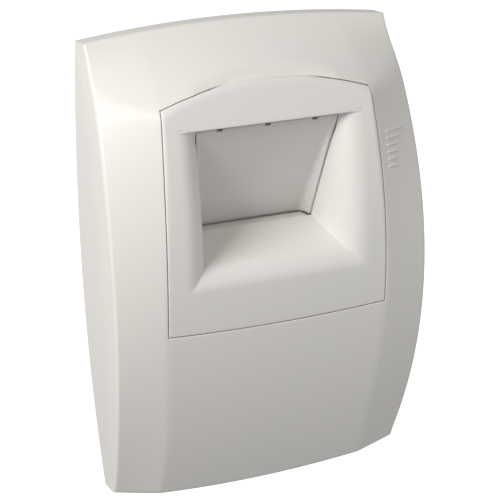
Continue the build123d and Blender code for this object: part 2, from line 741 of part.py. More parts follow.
def timer_chip():
    """Controller chip with two rows of legs."""
    chip = block(-12, 2, BOARD_TOP_D + 0.6, BOARD_TOP_D + 3.6, -86.0, -79.0)
    for i in range(7):
        x = -11.2 + i * 2.0
        chip += block(x, x + 0.8, BOARD_TOP_D, BOARD_TOP_D + 1.6, -88.0, -86.0)
        chip += block(x, x + 0.8, BOARD_TOP_D, BOARD_TOP_D + 1.6, -79.0, -77.0)
    return chip


def capacitors():
    """Three upright capacitors."""
    return [rod_y(x, z, BOARD_TOP_D, BOARD_TOP_D + h, r)
            for x, z, h, r in ((14, -88, 7.0, 3.0), (22, -88, 7.0, 3.0), (10, -66, 6.0, 2.4))]


def terminal_block():
    """Four-way screw terminal at the cable side of the board."""
    body = block(31, 40, BOARD_TOP_D, BOARD_TOP_D + 7.5, -88.0, -66.0)
    for i in range(4):
        z = -85.0 + i * 5.4
        body -= rod_y(34.5, z, BOARD_TOP_D + 5.5, BOARD_TOP_D + 9, 1.7)
        body -= block(38, 41, BOARD_TOP_D + 1.2, BOARD_TOP_D + 3.8, z - 1.5, z + 1.5)
    return body


def terminal_screws():
    """Clamping screws of the terminal block."""
    return [rod_y(34.5, -85.0 + i * 5.4, BOARD_TOP_D + 5.5, BOARD_TOP_D + 7.0, 1.6)
            - block(33, 36, BOARD_TOP_D + 6.4, BOARD_TOP_D + 8, -85.3 + i * 5.4, -84.7 + i * 5.4)
            for i in range(4)]


def trimmer_body():
    """Square body of the control that sets the boost time."""
    body = block(TRIMMER_X - 4.5, TRIMMER_X + 4.5, BOARD_TOP_D, BOARD_TOP_D + 4.5,
                 TRIMMER_Z - 4.5, TRIMMER_Z + 4.5)
    return body - rod_y(TRIMMER_X, TRIMMER_Z, BOARD_TOP_D + 2, BOARD_TOP_D + 6, 1.55)


def trimmer_knob():
    """Slotted knob that turns in the trimmer and comes up through the lid."""
    knob = rod_y(TRIMMER_X, TRIMMER_Z, BOARD_TOP_D + 2.1, BOARD_TOP_D + 5, 1.5)
    knob += rod_y(TRIMMER_X, TRIMMER_Z, BOARD_TOP_D + 4.8, LID_D + 1.0, TRIMMER_R)
    knob -= block(TRIMMER_X - 0.5, TRIMMER_X + 0.5, LID_D - 0.4, LID_D + 2,
                  TRIMMER_Z - 2.6, TRIMMER_Z + TRIMMER_R + 1)
    return knob


def humidity_sensor():
    """Vented sensor capsule at the end of the board."""
    x, z = -33.0, -70.0
    capsule = block(x - 5, x + 5, BOARD_TOP_D, BOARD_TOP_D + 6.5, z - 6, z + 6)
    for i in range(4):
        slot_z = z - 4.4 + i * 2.6
        capsule -= block(x - 3.6, x + 3.6, BOARD_TOP_D + 5.5, BOARD_TOP_D + 8, slot_z, slot_z + 1.2)
    return capsule


def tray_lid():
    """Cover of the electronics, with slots over the sensor and a hole for the knob."""
    lid = block(-TRAY_X, TRAY_X, TRAY_D, LID_D, TRAY_BOTTOM_Z, TRAY_TOP_Z)
    lid -= block(-TRAY_X + TRAY_T, TRAY_X - TRAY_T, TRAY_D - 1, LID_D - TRAY_T,
                 TRAY_BOTTOM_Z + TRAY_T, TRAY_TOP_Z - TRAY_T)
    lid -= rod_y(TRIMMER_X, TRIMMER_Z, LID_D - 3, LID_D + 1, TRIMMER_R + 0.4)
    for i in range(6):
        x = -40.0 + i * 2.8
        lid -= block(x, x + 1.4, LID_D - 3, LID_D + 1, -77.0, -63.0)
    return lid


def board_screws():
    """Four board screws."""
    return [screw(x, z, BOARD_TOP_D, 0.9, 4.5, 1.9, 1.3) for x, z in board_posts()]


# ---- cells ----
def cell_holder():
    """Trough for two cells end to end."""
    low = CELL_Z - CELL_R - 1.7
    high = CELL_Z + CELL_R + 1.5
    box = block(-HOLDER_X, HOLDER_X, BASE_T, CELL_D + 1, low, high)
    box -= block(-HOLDER_X + 1.5, HOLDER_X - 1.5, BASE_T + 1.4, CELL_D + 2, low + 1.2, high - 1.0)
    for x in (-25.0, 25.0):
        box -= block(x - 6, x + 6, BASE_T + 5, CELL_D + 2, low - 1, high + 1)
    return box


def cells():
    """Two cells with their raised positive caps, a small space apart."""
    pair = []
    for x0 in (-CELL_L - 0.3, 1.6):
        body = rod_x(x0, x0 + CELL_L - 1.3, CELL_D, CELL_Z, CELL_R)
        pair.append(body + rod_x(x0 + CELL_L - 1.3, x0 + CELL_L, CELL_D, CELL_Z, 2.6))
    return pair


def cell_contacts():
    """Spring plate at one end of the trough and a flat plate at the other."""
    inner = HOLDER_X - 1.5
    flat = block(inner - 0.5, inner, BASE_T + 2, CELL_D + 5, CELL_Z - 4.5, CELL_Z + 4.5)
    dome = rod_x(CELL_L + 1.6, inner - 0.5, CELL_D, CELL_Z, 2.2)
    plate = block(-inner, -inner + 0.5, BASE_T + 2, CELL_D + 5, CELL_Z - 4.5, CELL_Z + 4.5)
    length = inner - 0.5 - CELL_L - 0.3
    coil = rod_x(-inner + 0.5, -inner + 0.5 + length, CELL_D, CELL_Z, 3.0)
    coil -= rod_x(-inner + 0.4, -inner + 1 + length, CELL_D, CELL_Z, 2.2)
    return [flat + dome, plate + coil]


# ---- small parts on the base ----
def cover_clips():
    """Four leaf springs on the posts of the base; each one presses on the cover wall."""
    clips = []
    for z in (-CLIP_Z, CLIP_Z):
        x = POST_X + POST_T
        reach = half_width(CLIP_Z) - WALL - 0.5
        points = [(x, -BASE_T - 1), (x + 0.7, -BASE_T - 1), (x + 0.7, -POST_D + 5), (reach, -POST_D + 2),
                  (reach - 0.8, -POST_D + 1.4), (x, -POST_D + 4)]
        wire = [Vector(px, py, z - CLIP_W / 2 + 1 + MIDDLE_Z) for px, py in points]
        face = Face(Wire.make_polygon(wire, close=True))
        clip = extrude(face, amount=CLIP_W - 2, dir=(0, 0, 1))
        clips += [clip, mirrored(clip)]
    return clips


def frame_screws():
    """Four screws through both flanges into the base."""
    return [screw(x, z, FRAME_D, 1.2, FRAME_D - PILOT_D, 2.6, 1.6) for x, z in flange_screws()]


def cable_grommet():
    """Rubber ring in the base where the supply cable would enter."""
    body = rod_y(GROMMET_X, GROMMET_Z, 0, BASE_T + 1.5, GROMMET_R)
    body += rod_y(GROMMET_X, GROMMET_Z, BASE_T, BASE_T + 1.5, GROMMET_R + 1.5)
    return body - rod_y(GROMMET_X, GROMMET_Z, -1, BASE_T + 3, GROMMET_BORE_R)


def group(solids):
    """Several separate solids in one node."""
    return Compound(children=list(solids))


save("front_cover", front_cover() + bevel_bars())
save("recess_panel", recess_panel())
save("base_plate", base_plate())
save("wall_gasket", ring_y(0.0, GASKET_T, GASKET_R, GASKET_INNER_R))
save("duct_spigot", duct_spigot())
save("spigot_seal", spigot_seal())
save("acoustic_lining", acoustic_lining())
save("shutter_frame", shutter_frame())
save("pivot_bushes", group(pivot_bushes()))
save("shutter_flap", shutter_flap())
save("flap_seal", flap_seal())
save("flap_axles", group(flap_axles()))
save("sector_gear", sector_gear())
save("motor_pinion", motor_pinion())
save("motor_shaft", motor_shaft())
save("motor_bracket", motor_bracket())
save("bracket_screws", group(bracket_screws()))
save("gearbox", gearbox())
save("drive_motor", drive_motor())
save("control_tray", tray())
save("control_lid", tray_lid())
save("circuit_board", circuit_board())
save("board_screws", group(board_screws()))
save("timer_chip", timer_chip())
save("capacitors", group(capacitors()))
save("terminal_block", terminal_block())
save("terminal_screws", group(terminal_screws()))
save("trimmer_body", trimmer_body())
save("trimmer_knob", trimmer_knob())
save("humidity_sensor", humidity_sensor())
save("cell_holder", cell_holder())
save("cells", group(cells()))
save("cell_contacts", group(cell_contacts()))
save("cover_clips", group(cover_clips()))
save("frame_screws", group(frame_screws()))
save("cable_grommet", cable_grommet())
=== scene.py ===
# %% [markdown]
# # A wall ventilation terminal, dressed for its picture
# The object is a satin white plastic cover for a 125 mm air duct. A removable panel in its
# middle holds a recess, and a motor-driven flap closes the duct behind it. The CAD frame
# already holds every piece at its true size. This lesson rebuilds the three mouldings that
# the eye follows, adds small repeated parts with Geometry Nodes, and paints every piece.

# %% Tools and frame
import math

import bmesh
import bpy
import numpy as np
from mathutils import Matrix, Vector


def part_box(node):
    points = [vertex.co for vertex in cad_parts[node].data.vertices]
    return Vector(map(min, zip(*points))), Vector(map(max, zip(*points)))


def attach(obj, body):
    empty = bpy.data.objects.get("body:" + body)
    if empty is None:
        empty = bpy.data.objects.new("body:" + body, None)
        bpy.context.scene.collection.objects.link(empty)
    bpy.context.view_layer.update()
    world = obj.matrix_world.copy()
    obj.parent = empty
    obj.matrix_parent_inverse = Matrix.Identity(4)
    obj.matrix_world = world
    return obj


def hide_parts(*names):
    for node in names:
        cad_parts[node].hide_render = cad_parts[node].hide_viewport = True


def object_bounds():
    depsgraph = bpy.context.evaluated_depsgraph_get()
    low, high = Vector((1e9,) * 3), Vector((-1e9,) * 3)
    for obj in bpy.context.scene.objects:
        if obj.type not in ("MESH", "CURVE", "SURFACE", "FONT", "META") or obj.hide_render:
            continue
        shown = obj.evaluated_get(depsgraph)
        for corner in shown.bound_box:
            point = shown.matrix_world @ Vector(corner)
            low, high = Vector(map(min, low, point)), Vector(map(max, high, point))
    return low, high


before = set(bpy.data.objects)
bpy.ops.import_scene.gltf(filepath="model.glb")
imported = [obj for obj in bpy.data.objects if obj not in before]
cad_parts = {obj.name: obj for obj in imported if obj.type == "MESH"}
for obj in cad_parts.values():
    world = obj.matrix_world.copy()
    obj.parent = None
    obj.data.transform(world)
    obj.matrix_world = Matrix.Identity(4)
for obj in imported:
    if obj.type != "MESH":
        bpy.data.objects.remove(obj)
cad_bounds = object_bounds()

# %% [markdown]
# ## Measures
# Sizes are in millimetres and are written as x, depth and height. Depth runs from the wall
# towards the room and height from the middle of the cover, so a moulding can be described
# the way a maker would draw it. One function turns such a point into metres in the frame.

# %% Measures
MM = 0.001
COVER_LOW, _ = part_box("front_cover")
BOTTOM_DROP = 112.0        # the bottom edge is this far below the middle, at the centre line
MIDDLE = COVER_LOW.z / MM + BOTTOM_DROP


def place(x, depth, height):
    """Points from their three parts, which may be numbers or arrays."""
    return np.stack(np.broadcast_arrays(x, depth, height), axis=-1)


def to_metres(points):
    """Points as (x, depth, height) in mm become (x, y, z) in metres."""
    points = np.asarray(points, float)
    return place(points[..., 0], -points[..., 1], points[..., 2] + MIDDLE) * MM


print("middle of the cover in mm:", round(MIDDLE, 3))

# %% [markdown]
# ## From grids of points to a clean mesh
# Each moulding is drawn as a few grids whose lines follow its edges, because a shading
# crease is only crisp when mesh lines run along it. The helper below gathers grids, welds
# their shared borders, and makes one mesh object.


# %% Skin helper
CREASE_ANGLE = 32.0        # edges that turn by more degrees are shaded sharp
WELD = 0.004 * MM


def shaded(mesh, sharp=CREASE_ANGLE):
    """Smooth shading that keeps the sharp edges crisp."""
    mesh.shade_smooth()
    mesh.set_sharp_from_angle(angle=math.radians(sharp))
    return mesh


def linked(name, work, mesh):
    """Writes a bmesh into a mesh and puts its object in the scene."""
    work.to_mesh(mesh)
    work.free()
    piece = bpy.data.objects.new(name, shaded(mesh))
    bpy.context.scene.collection.objects.link(piece)
    return piece


class Skin:
    """Grids of points in mm that are welded into one mesh."""

    def __init__(self):
        self.points = []
        self.faces = []
        self.count = 0

    def grid(self, rows, closed=False):
        """Adds a grid; `closed` joins its last column to its first."""
        rows = np.asarray(rows, float)
        height, width = rows.shape[:2]
        index = np.arange(height * width).reshape(height, width) + self.count
        if closed:
            index = np.concatenate([index, index[:, :1]], axis=1)
        quads = np.stack([index[:-1, :-1], index[:-1, 1:], index[1:, 1:], index[1:, :-1]], axis=-1)
        self.points.append(rows.reshape(-1, 3))
        self.faces.append(quads.reshape(-1, 4))
        self.count += height * width

    def object(self, name, towards=None):
        """Welds the grids. `towards` is a direction that open skins should face."""
        mesh = bpy.data.meshes.new(name)
        points = to_metres(np.concatenate(self.points))
        mesh.from_pydata(points.tolist(), [], np.concatenate(self.faces).tolist())
        work = bmesh.new()
        work.from_mesh(mesh)
        bmesh.ops.remove_doubles(work, verts=work.verts, dist=WELD)
        bmesh.ops.dissolve_degenerate(work, edges=work.edges, dist=WELD / 4)
        bmesh.ops.recalc_face_normals(work, faces=work.faces)
        if towards is not None:
            lean = sum((face.normal * face.calc_area() for face in work.faces), Vector())
            if lean.dot(Vector(towards)) < 0:
                bmesh.ops.reverse_faces(work, faces=work.faces)
        return linked(name, work, mesh)


def applied(piece, sharp=CREASE_ANGLE):
    """Makes the evaluated shape of a piece its own mesh and drops its modifiers."""
    graph = bpy.context.evaluated_depsgraph_get()
    mesh = bpy.data.meshes.new_from_object(piece.evaluated_get(graph))
    piece.modifiers.clear()
    piece.data = shaded(mesh, sharp)
    return piece


def thickened(piece, wall):
    """Gives an open skin its wall, inwards from the surface that was drawn."""
    solidify = piece.modifiers.new("wall", "SOLIDIFY")
    solidify.thickness = wall * MM
    solidify.offset = -1.0
    return applied(piece)


def spread(start, end, count):
    """Evenly spaced numbers with both ends."""
    return np.linspace(start, end, count + 1)


def rounding(inside, corner, outside, steps):
    """Rows of a rounded edge: a curve from `inside` to `outside` that is pulled to `corner`."""
    rows = []
    for t in spread(0.0, 1.0, steps):
        rows.append((1 - t) ** 2 * inside + 2 * t * (1 - t) * corner + t ** 2 * outside)
    return rows


# %% [markdown]
# ## The front surface
# The moulder's drawing is an arched band down the middle, a bevel on each side and a
# shoulder that falls to the top edge. Where two of them meet, a soft minimum rounds the
# crease, as a polished steel mould does. The cover and its panel share one formula, so that
# they stay flush along the thin gap between them.

# %% Front surface
CORNER_X = 73.4            # half width at the corners
CORNER_Z = 106.0
SIDE_BULGE = 4.1
TOP_BULGE = 4.6
BOTTOM_BULGE = 6.0
RIDGE_D = 43.1             # depth of the side walls at mid height
RIDGE_R = 196.2
BAND_D = 49.3              # crown of the centre band
BAND_Z = 20.2
BAND_R = 275.0
BEVEL_HEIGHTS = (-106.0, 0.0, 60.0)
BEVEL_SLOPES = (0.31, 0.23, 0.49)
TOP_EDGE_D = 12.0
SHOULDER_SLOPE = 1.245
SHOULDER_LOSS = 0.645      # how much less the shoulder falls at SIDE_X
SIDE_X = 80.0
CREASE_SOFT = 0.35         # mm of depth over which the band's crease is blended
SHOULDER_SOFT = 2.2
SHOULDER_CREASE = 0.09     # extra fall of the shoulder outside the crease
SCOOP_X = 34.0             # finger scoop above the panel
SCOOP_REACH = 6.5          # height of the scoop above the panel
SCOOP_DEPTH = 3.6


def soft_min(a, b, blend):
    """The smaller of two depths, with their crease rounded over `blend` mm of depth."""
    near = np.maximum(blend - np.abs(a - b), 0.0)
    return np.minimum(a, b) - near ** 2 / (4 * blend)


def half_width(height):
    """Half width of the cover."""
    return CORNER_X + SIDE_BULGE * (1 - (height / CORNER_Z) ** 2)


def crease_x(height):
    """Where the band meets a bevel; the panel's side edges lie on this line too."""
    return 48.9 - 0.0114 * height + 4.49 * (1 - (height / CORNER_Z) ** 2)


def top_edge(x):
    """Height of the top edge."""
    return CORNER_Z + TOP_BULGE * (1 - (x / CORNER_X) ** 2)


def bottom_edge(x):
    """Height of the bottom edge."""
    return -CORNER_Z - BOTTOM_BULGE * (1 - (x / CORNER_X) ** 2)


def band_depth(height):
    """Depth of the arched centre band."""
    return BAND_D - BAND_R + np.sqrt(BAND_R ** 2 - (height - BAND_Z) ** 2)


def ridge_depth(height):
    """Depth of the front edge of the side walls."""
    return RIDGE_D - RIDGE_R + np.sqrt(RIDGE_R ** 2 - np.minimum(np.abs(height), 150.0) ** 2)


def bevel_depth(x, height):
    """Depth of a side bevel, a parabola in height through its three stations."""
    total = 0.0
    for i, station in enumerate(BEVEL_HEIGHTS):
        value = ridge_depth(station) - BEVEL_SLOPES[i] * (np.abs(x) - half_width(station))
        for j, other in enumerate(BEVEL_HEIGHTS):
            if j != i:
                value = value * (height - other) / (station - other)
        total = total + value
    return total


def shoulder_depth(x, height):
    """Depth of the shoulder that falls to the top edge."""
    fall = SHOULDER_SLOPE - SHOULDER_LOSS * (x / SIDE_X) ** 2
    below = top_edge(x) - height
    outside = np.maximum(np.abs(x) - crease_x(height), 0.0)
    return TOP_EDGE_D + below * fall - SHOULDER_CREASE * outside * np.clip(below / 12.0, 0.0, 1.0)


def panel_top(x):
    """Height of the panel's arched top edge, level outside its corners."""
    radius = (50.1 ** 2 + 8.7 ** 2) / (2 * 8.7)
    inside = np.minimum(np.abs(x), 50.1)
    return 78.5 + np.sqrt(radius ** 2 - inside ** 2) - (radius - 8.7)


def panel_bottom(x):
    """Height of the panel's bowed bottom edge."""
    inside = np.minimum(np.abs(x), 53.5)
    return -22.0 - 1.7 * (1 - (inside / 53.5) ** 2)


def front_depth(x, height):
    """Depth of the finished front surface, without the scoop."""
    depth = soft_min(band_depth(height), bevel_depth(x, height), CREASE_SOFT)
    return soft_min(depth, shoulder_depth(x, height), SHOULDER_SOFT)


def scoop_depth(x, height):
    """How far the finger scoop is hollowed below the front surface."""
    across = np.clip(1 - (x / SCOOP_X) ** 2, 0.0, 1.0) ** 0.8
    rise = np.clip((height - panel_top(x)) / SCOOP_REACH, 0.0, 1.0)
    above = (height > panel_top(x) - 2.0)
    return SCOOP_DEPTH * across * np.cos(rise * math.pi / 2) ** 2 * above


print("crown of the band in mm:", BAND_D)

# %% [markdown]
# ## The cover
# The real cover is one injection moulding with a 2.2 mm wall. It could be cut from a
# subdivided box, but its edges are arcs, so a grid whose columns run along the side creases
# and whose rows bend with the arched edges gives the shape with few surprises. The middle
# of the grid is left open for the panel, and the side walls hang from its rim.

# %% Cover grid
WALL = 2.2
RIDGE_ROUND = 1.3          # radius of the outer ridge
GAP = 0.4                  # clearance between cover and panel
EDGE_ROUND = 0.4
LEDGE_W = 2.6              # the ledge reaches this far to both sides of the opening's edge
LEDGE_T = 1.6
SKIRT_STRIP = 12.6         # front strip of the side walls, which leans in a little
SKIRT_DRAFT = 0.05
LEAN_FADE = 6.0            # height near a corner over which the lean fades out
INNER_MARGIN = 1.5         # least wall between the two skins along depth
COLUMNS = np.concatenate([spread(-3, -2, 26), spread(-2, 2, 84)[1:], spread(2, 3, 26)[1:]])
ROWS = np.concatenate([spread(0, 1, 64), spread(1, 2, 74)[1:], spread(2, 3, 30)[1:]])
OPEN_LEFT, OPEN_RIGHT = 26, 110
OPEN_BOTTOM, OPEN_TOP = 64, 138


def cover_point(column, row, inset, gap):
    """(x, height) of a grid place. `inset` pulls the outline in, `gap` widens the opening."""
    column = np.asarray(column, float)
    row = np.asarray(row, float)
    x = column * 25.0
    height = np.zeros_like(x + row)
    for _ in range(6):
        limit = np.clip(half_width(height), CORNER_X, None) - inset
        side = crease_x(height) + gap
        wide = np.abs(column)
        x = np.sign(column) * np.where(wide > 2, side + (limit - side) * (wide - 2), side * wide / 2)
        levels = [bottom_edge(x) + inset, panel_bottom(x) - gap, panel_top(x) + gap, top_edge(x) - inset]
        height = np.where(row < 1, levels[0] + (levels[1] - levels[0]) * row,
                          np.where(row < 2, levels[1] + (levels[2] - levels[1]) * (row - 1),
                                   levels[2] + (levels[3] - levels[2]) * (row - 2)))
    return x, height


def on_cover(column, row, inset, gap):
    """(x, depth, height) of a grid place on the cover's front."""
    x, height = cover_point(column, row, inset, gap)
    return place(x, front_depth(x, height) - scoop_depth(x, height), height)


def loop(columns, rows):
    """Grid places once round a rectangle of the grid, from its lower left corner."""
    places = [(c, rows[0]) for c in columns[:-1]]
    places += [(columns[-1], r) for r in rows[:-1]]
    places += [(c, rows[-1]) for c in columns[:0:-1]]
    places += [(columns[0], r) for r in rows[:0:-1]]
    return np.array(places)


def deeper(points, amount):
    """The same points, further from the viewer."""
    moved = np.array(points, float)
    moved[..., 1] -= amount
    return moved


def cover_shell():
    """The cover as a thick moulding."""
    skin = Skin()
    blocks = [(ROWS, COLUMNS[:OPEN_LEFT + 1]), (ROWS, COLUMNS[OPEN_RIGHT:]),
              (ROWS[:OPEN_BOTTOM + 1], COLUMNS[OPEN_LEFT:OPEN_RIGHT + 1]),
              (ROWS[OPEN_TOP:], COLUMNS[OPEN_LEFT:OPEN_RIGHT + 1])]
    for rows, columns in blocks:
        row, column = np.meshgrid(rows, columns, indexing="ij")
        skin.grid(on_cover(column, row, RIDGE_ROUND, GAP + EDGE_ROUND))
    rim = loop(COLUMNS, ROWS)
    inside = on_cover(rim[:, 0], rim[:, 1], RIDGE_ROUND, GAP + EDGE_ROUND)
    corner = on_cover(rim[:, 0], rim[:, 1], 0.0, GAP + EDGE_ROUND)
    walls = rounding(inside, side_wall(corner, 0.0), side_wall(corner, RIDGE_ROUND), 5)
    strip = np.minimum(SKIRT_STRIP, corner[:, 1] - 0.4)
    for share in spread(0.0, 1.0, 6)[1:]:
        walls.append(side_wall(corner, RIDGE_ROUND + (strip - RIDGE_ROUND) * share))
    for share in spread(0.0, 1.0, 8)[1:]:
        walls.append(side_wall(corner, strip + (corner[:, 1] - strip) * share))
    skin.grid(walls, closed=True)
    mouth = loop(COLUMNS[OPEN_LEFT:OPEN_RIGHT + 1], ROWS[OPEN_BOTTOM:OPEN_TOP + 1])
    inside = on_cover(mouth[:, 0], mouth[:, 1], RIDGE_ROUND, GAP + EDGE_ROUND)
    corner = on_cover(mouth[:, 0], mouth[:, 1], RIDGE_ROUND, GAP)
    walls = rounding(inside, corner, deeper(corner, EDGE_ROUND), 4)
    walls.append(deeper(corner, WALL))
    skin.grid(walls, closed=True)
    piece = thickened(skin.object("cover_shell", towards=(0, -1, 0)), WALL)
    return kept_inside(piece)


def kept_inside(piece):
    """Holds the inner skin behind the front surface, where the shoulder falls fast."""
    count = len(piece.data.vertices)
    points = np.empty(count * 3)
    piece.data.vertices.foreach_get("co", points)
    points = points.reshape(-1, 3) / MM
    x, height = points[:, 0], points[:, 2] - MIDDLE
    limit = front_depth(x, height) - scoop_depth(x, height) - INNER_MARGIN
    inner = np.arange(count) >= count // 2    # Solidify adds the inner skin after the outer one
    points[:, 1] = np.where(inner, np.maximum(points[:, 1], -limit), points[:, 1])
    piece.data.vertices.foreach_set("co", (points * MM).ravel())
    piece.data.update()
    return piece


def side_wall(edge, back):
    """Points of the side wall, `back` mm behind the ridge; the front strip leans in."""
    wall = deeper(edge, back)
    lean = SKIRT_DRAFT * np.clip(SKIRT_STRIP - (edge[:, 1] - wall[:, 1]), 0.0, None)
    fade = np.clip((CORNER_Z - np.abs(edge[:, 2])) / LEAN_FADE, 0.0, 1.0)
    wall[:, 0] -= np.sign(edge[:, 0]) * lean * fade * (np.abs(edge[:, 0]) > 0.8 * CORNER_X)
    return wall


def opening_ledge():
    """The step behind the opening that the panel rests on."""
    skin = Skin()
    mouth = loop(COLUMNS[OPEN_LEFT:OPEN_RIGHT + 1], ROWS[OPEN_BOTTOM:OPEN_TOP + 1])
    turns = []
    under = WALL + LEDGE_T
    for grow, back in ((LEDGE_W, WALL - 0.1), (-LEDGE_W, WALL), (-LEDGE_W, under), (LEDGE_W, under)):
        x, height = cover_point(mouth[:, 0], mouth[:, 1], RIDGE_ROUND, grow)
        turns.append(place(x, front_depth(x, height) - back, height))
    turns.append(turns[0])
    skin.grid(turns, closed=True)
    return skin.object("ledge")


def joined(name, pieces):
    """Joins pieces into one mesh, so that they stay one part."""
    bpy.ops.object.select_all(action="DESELECT")
    for piece in pieces:
        piece.select_set(True)
    bpy.context.view_layer.objects.active = pieces[0]
    bpy.ops.object.join()
    pieces[0].name = name
    return pieces[0]


cover = joined("cover_shell", [cover_shell(), opening_ledge()])
print("cover faces:", len(cover.data.polygons))

# %% [markdown]
# ## A small kit for node trees
# Geometry Nodes repeats a shape by rule. The class below builds a tree in a few lines: it
# adds a node with its settings, then feeds its sockets with values or with links. The last
# steps of each tree realise the instances and set the material, because an exported file
# keeps neither instances nor an empty slot.


# %% Geometry tree kit
class Tree:
    """Builds one Geometry Nodes tree."""

    def __init__(self, name):
        self.tree = bpy.data.node_groups.new(name, "GeometryNodeTree")
        self.inputs = {}
        self.tree.interface.new_socket("Geometry", in_out="INPUT", socket_type="NodeSocketGeometry")
        self.tree.interface.new_socket("Geometry", in_out="OUTPUT", socket_type="NodeSocketGeometry")
        self.start = self.tree.nodes.new("NodeGroupInput")
        self.end = self.tree.nodes.new("NodeGroupOutput")

    def size(self, name, value, kind="NodeSocketFloat"):
        """A named input of the tree, with the value that the modifier will give it."""
        socket = self.tree.interface.new_socket(name, in_out="INPUT", socket_type=kind)
        self.inputs[socket.identifier] = value
        return self.start.outputs[name]

    def node(self, kind, settings=None, **links):
        """Adds a node; a key such as _1 names a socket by its number."""
        node = self.tree.nodes.new(kind)
        for key, value in (settings or {}).items():
            setattr(node, key, value)
        for key, value in links.items():
            socket = node.inputs[int(key[1:])] if key[0] == "_" else node.inputs[key.replace("_", " ")]
            if isinstance(value, bpy.types.NodeSocket):
                self.tree.links.new(value, socket)
            elif isinstance(value, bpy.types.Node):
                self.tree.links.new(value.outputs[0], socket)
            else:
                socket.default_value = value
        return node

    def math(self, operation, first, second=0.0):
        """One Math node."""
        return self.node("ShaderNodeMath", {"operation": operation}, _0=first, _1=second)

    def xyz(self, **parts):
        """A vector from its parts."""
        return self.node("ShaderNodeCombineXYZ", **parts)

    def finish(self, geometry, material, name):
        """Ends the tree, runs it on an empty mesh and returns a plain piece of one material."""
        real = self.node("GeometryNodeRealizeInstances", Geometry=geometry)
        painted = self.node("GeometryNodeSetMaterial", Geometry=real, Material=bpy.data.materials[material])
        self.tree.links.new(painted.outputs[0], self.end.inputs[0])
        piece = bpy.data.objects.new(name, bpy.data.meshes.new(name))
        bpy.context.scene.collection.objects.link(piece)
        modifier = piece.modifiers.new("repeat", "NODES")
        modifier.node_group = self.tree
        for identifier, value in self.inputs.items():
            modifier[identifier] = value
        bpy.context.view_layer.update()
        applied(piece)
        print(name, "faces:", len(piece.data.polygons))
        return piece


# %% [markdown]
# ## Shader maths in Python
# A finish is easier to read as a formula than as a web of nodes. `Value` wraps a socket, and
# plus, minus and times add the Math nodes. `Finish` holds one material and has one
# method for any other node.


# %% Shader kit
class Value:
    """A shader socket that can be used in Python arithmetic."""

    def __init__(self, finish, socket):
        self.finish = finish
        self.socket = socket

    def over(self, limit):
        """1 where the value is over the limit, else 0."""
        return self.finish.node("ShaderNodeMath", {"operation": "GREATER_THAN"}, {0: self, 1: limit})


def operator(operation, reflected):
    """An arithmetic method for Value; the reflected form has its value on the right."""
    def act(self, other):
        pair = (other, self) if reflected else (self, other)
        return self.finish.node("ShaderNodeMath", {"operation": operation}, {0: pair[0], 1: pair[1]})
    return act


for short, operation in (("add", "ADD"), ("sub", "SUBTRACT"), ("mul", "MULTIPLY")):
    setattr(Value, f"__{short}__", operator(operation, False))
    setattr(Value, f"__r{short}__", operator(operation, True))


class Finish:
    """One procedural material."""

    def __init__(self, name):
        self.material = bpy.data.materials.new(name)
        self.material.use_nodes = True
        self.nodes = self.material.node_tree.nodes
        self.links = self.material.node_tree.links
        self.nodes.clear()
        self.place = self.node("ShaderNodeTexCoord", {}, {}, "Object")

    def node(self, kind, settings, inputs, output=0):
        """Adds a node: settings first, then the values or links of its sockets."""
        node = self.nodes.new(kind)
        for key, value in settings.items():
            setattr(node, key, value)
        for key, value in inputs.items():
            if isinstance(value, Value):
                self.links.new(value.socket, node.inputs[key])
            else:
                node.inputs[key].default_value = value
        return Value(self, node.outputs[output] if node.outputs else None)

    def noise(self, scale, detail=2.0, place=None):
        """Even noise from 0 to 1; scale is in waves per metre."""
        return self.node("ShaderNodeTexNoise", {}, {"Vector": place or self.place, "Scale": scale,
                                                    "Detail": detail})

    def axis(self, name):
        """One coordinate of the place, in metres."""
        return self.node("ShaderNodeSeparateXYZ", {}, {0: self.place}, name)

    def between(self, value, low, high, start=0.0, end=1.0):
        """Maps low..high to start..end, and holds it there."""
        return self.node("ShaderNodeMapRange", {"clamp": True},
                         {"Value": value, "From Min": low, "From Max": high, "To Min": start, "To Max": end})

    def mix(self, share, first, second):
        """Mixes two colours."""
        return self.node("ShaderNodeMix", {"data_type": "RGBA"},
                         {0: share, 6: colour(first), 7: colour(second)}, 2)

    def bump(self, height, distance, strength=1.0):
        """Relief from a height value; distance is in mm."""
        return self.node("ShaderNodeBump", {},
                         {"Height": height, "Distance": distance * MM, "Strength": strength})

    def surface(self, **sockets):
        """The Principled shader; a key's underscores stand for spaces."""
        inputs = {key.replace("_", " "): value for key, value in sockets.items()}
        if not isinstance(inputs["Base Color"], Value):
            inputs["Base Color"] = colour(inputs["Base Color"])
        shader = self.node("ShaderNodeBsdfPrincipled", {}, inputs)
        self.node("ShaderNodeOutputMaterial", {}, {"Surface": shader})
        return self.material


def colour(value):
    """A colour of three numbers gets its alpha."""
    return value if isinstance(value, Value) else (*value, 1.0)


# %% [markdown]
# ## Finishes
# The white mouldings are satin ABS: nearly even in colour, a little warmer in places, with a
# fine spark-eroded grain. The grain is a small bump, and slow noise moves the roughness so
# that highlights break up. Thick, thin and hidden mouldings get their own shade and grain.


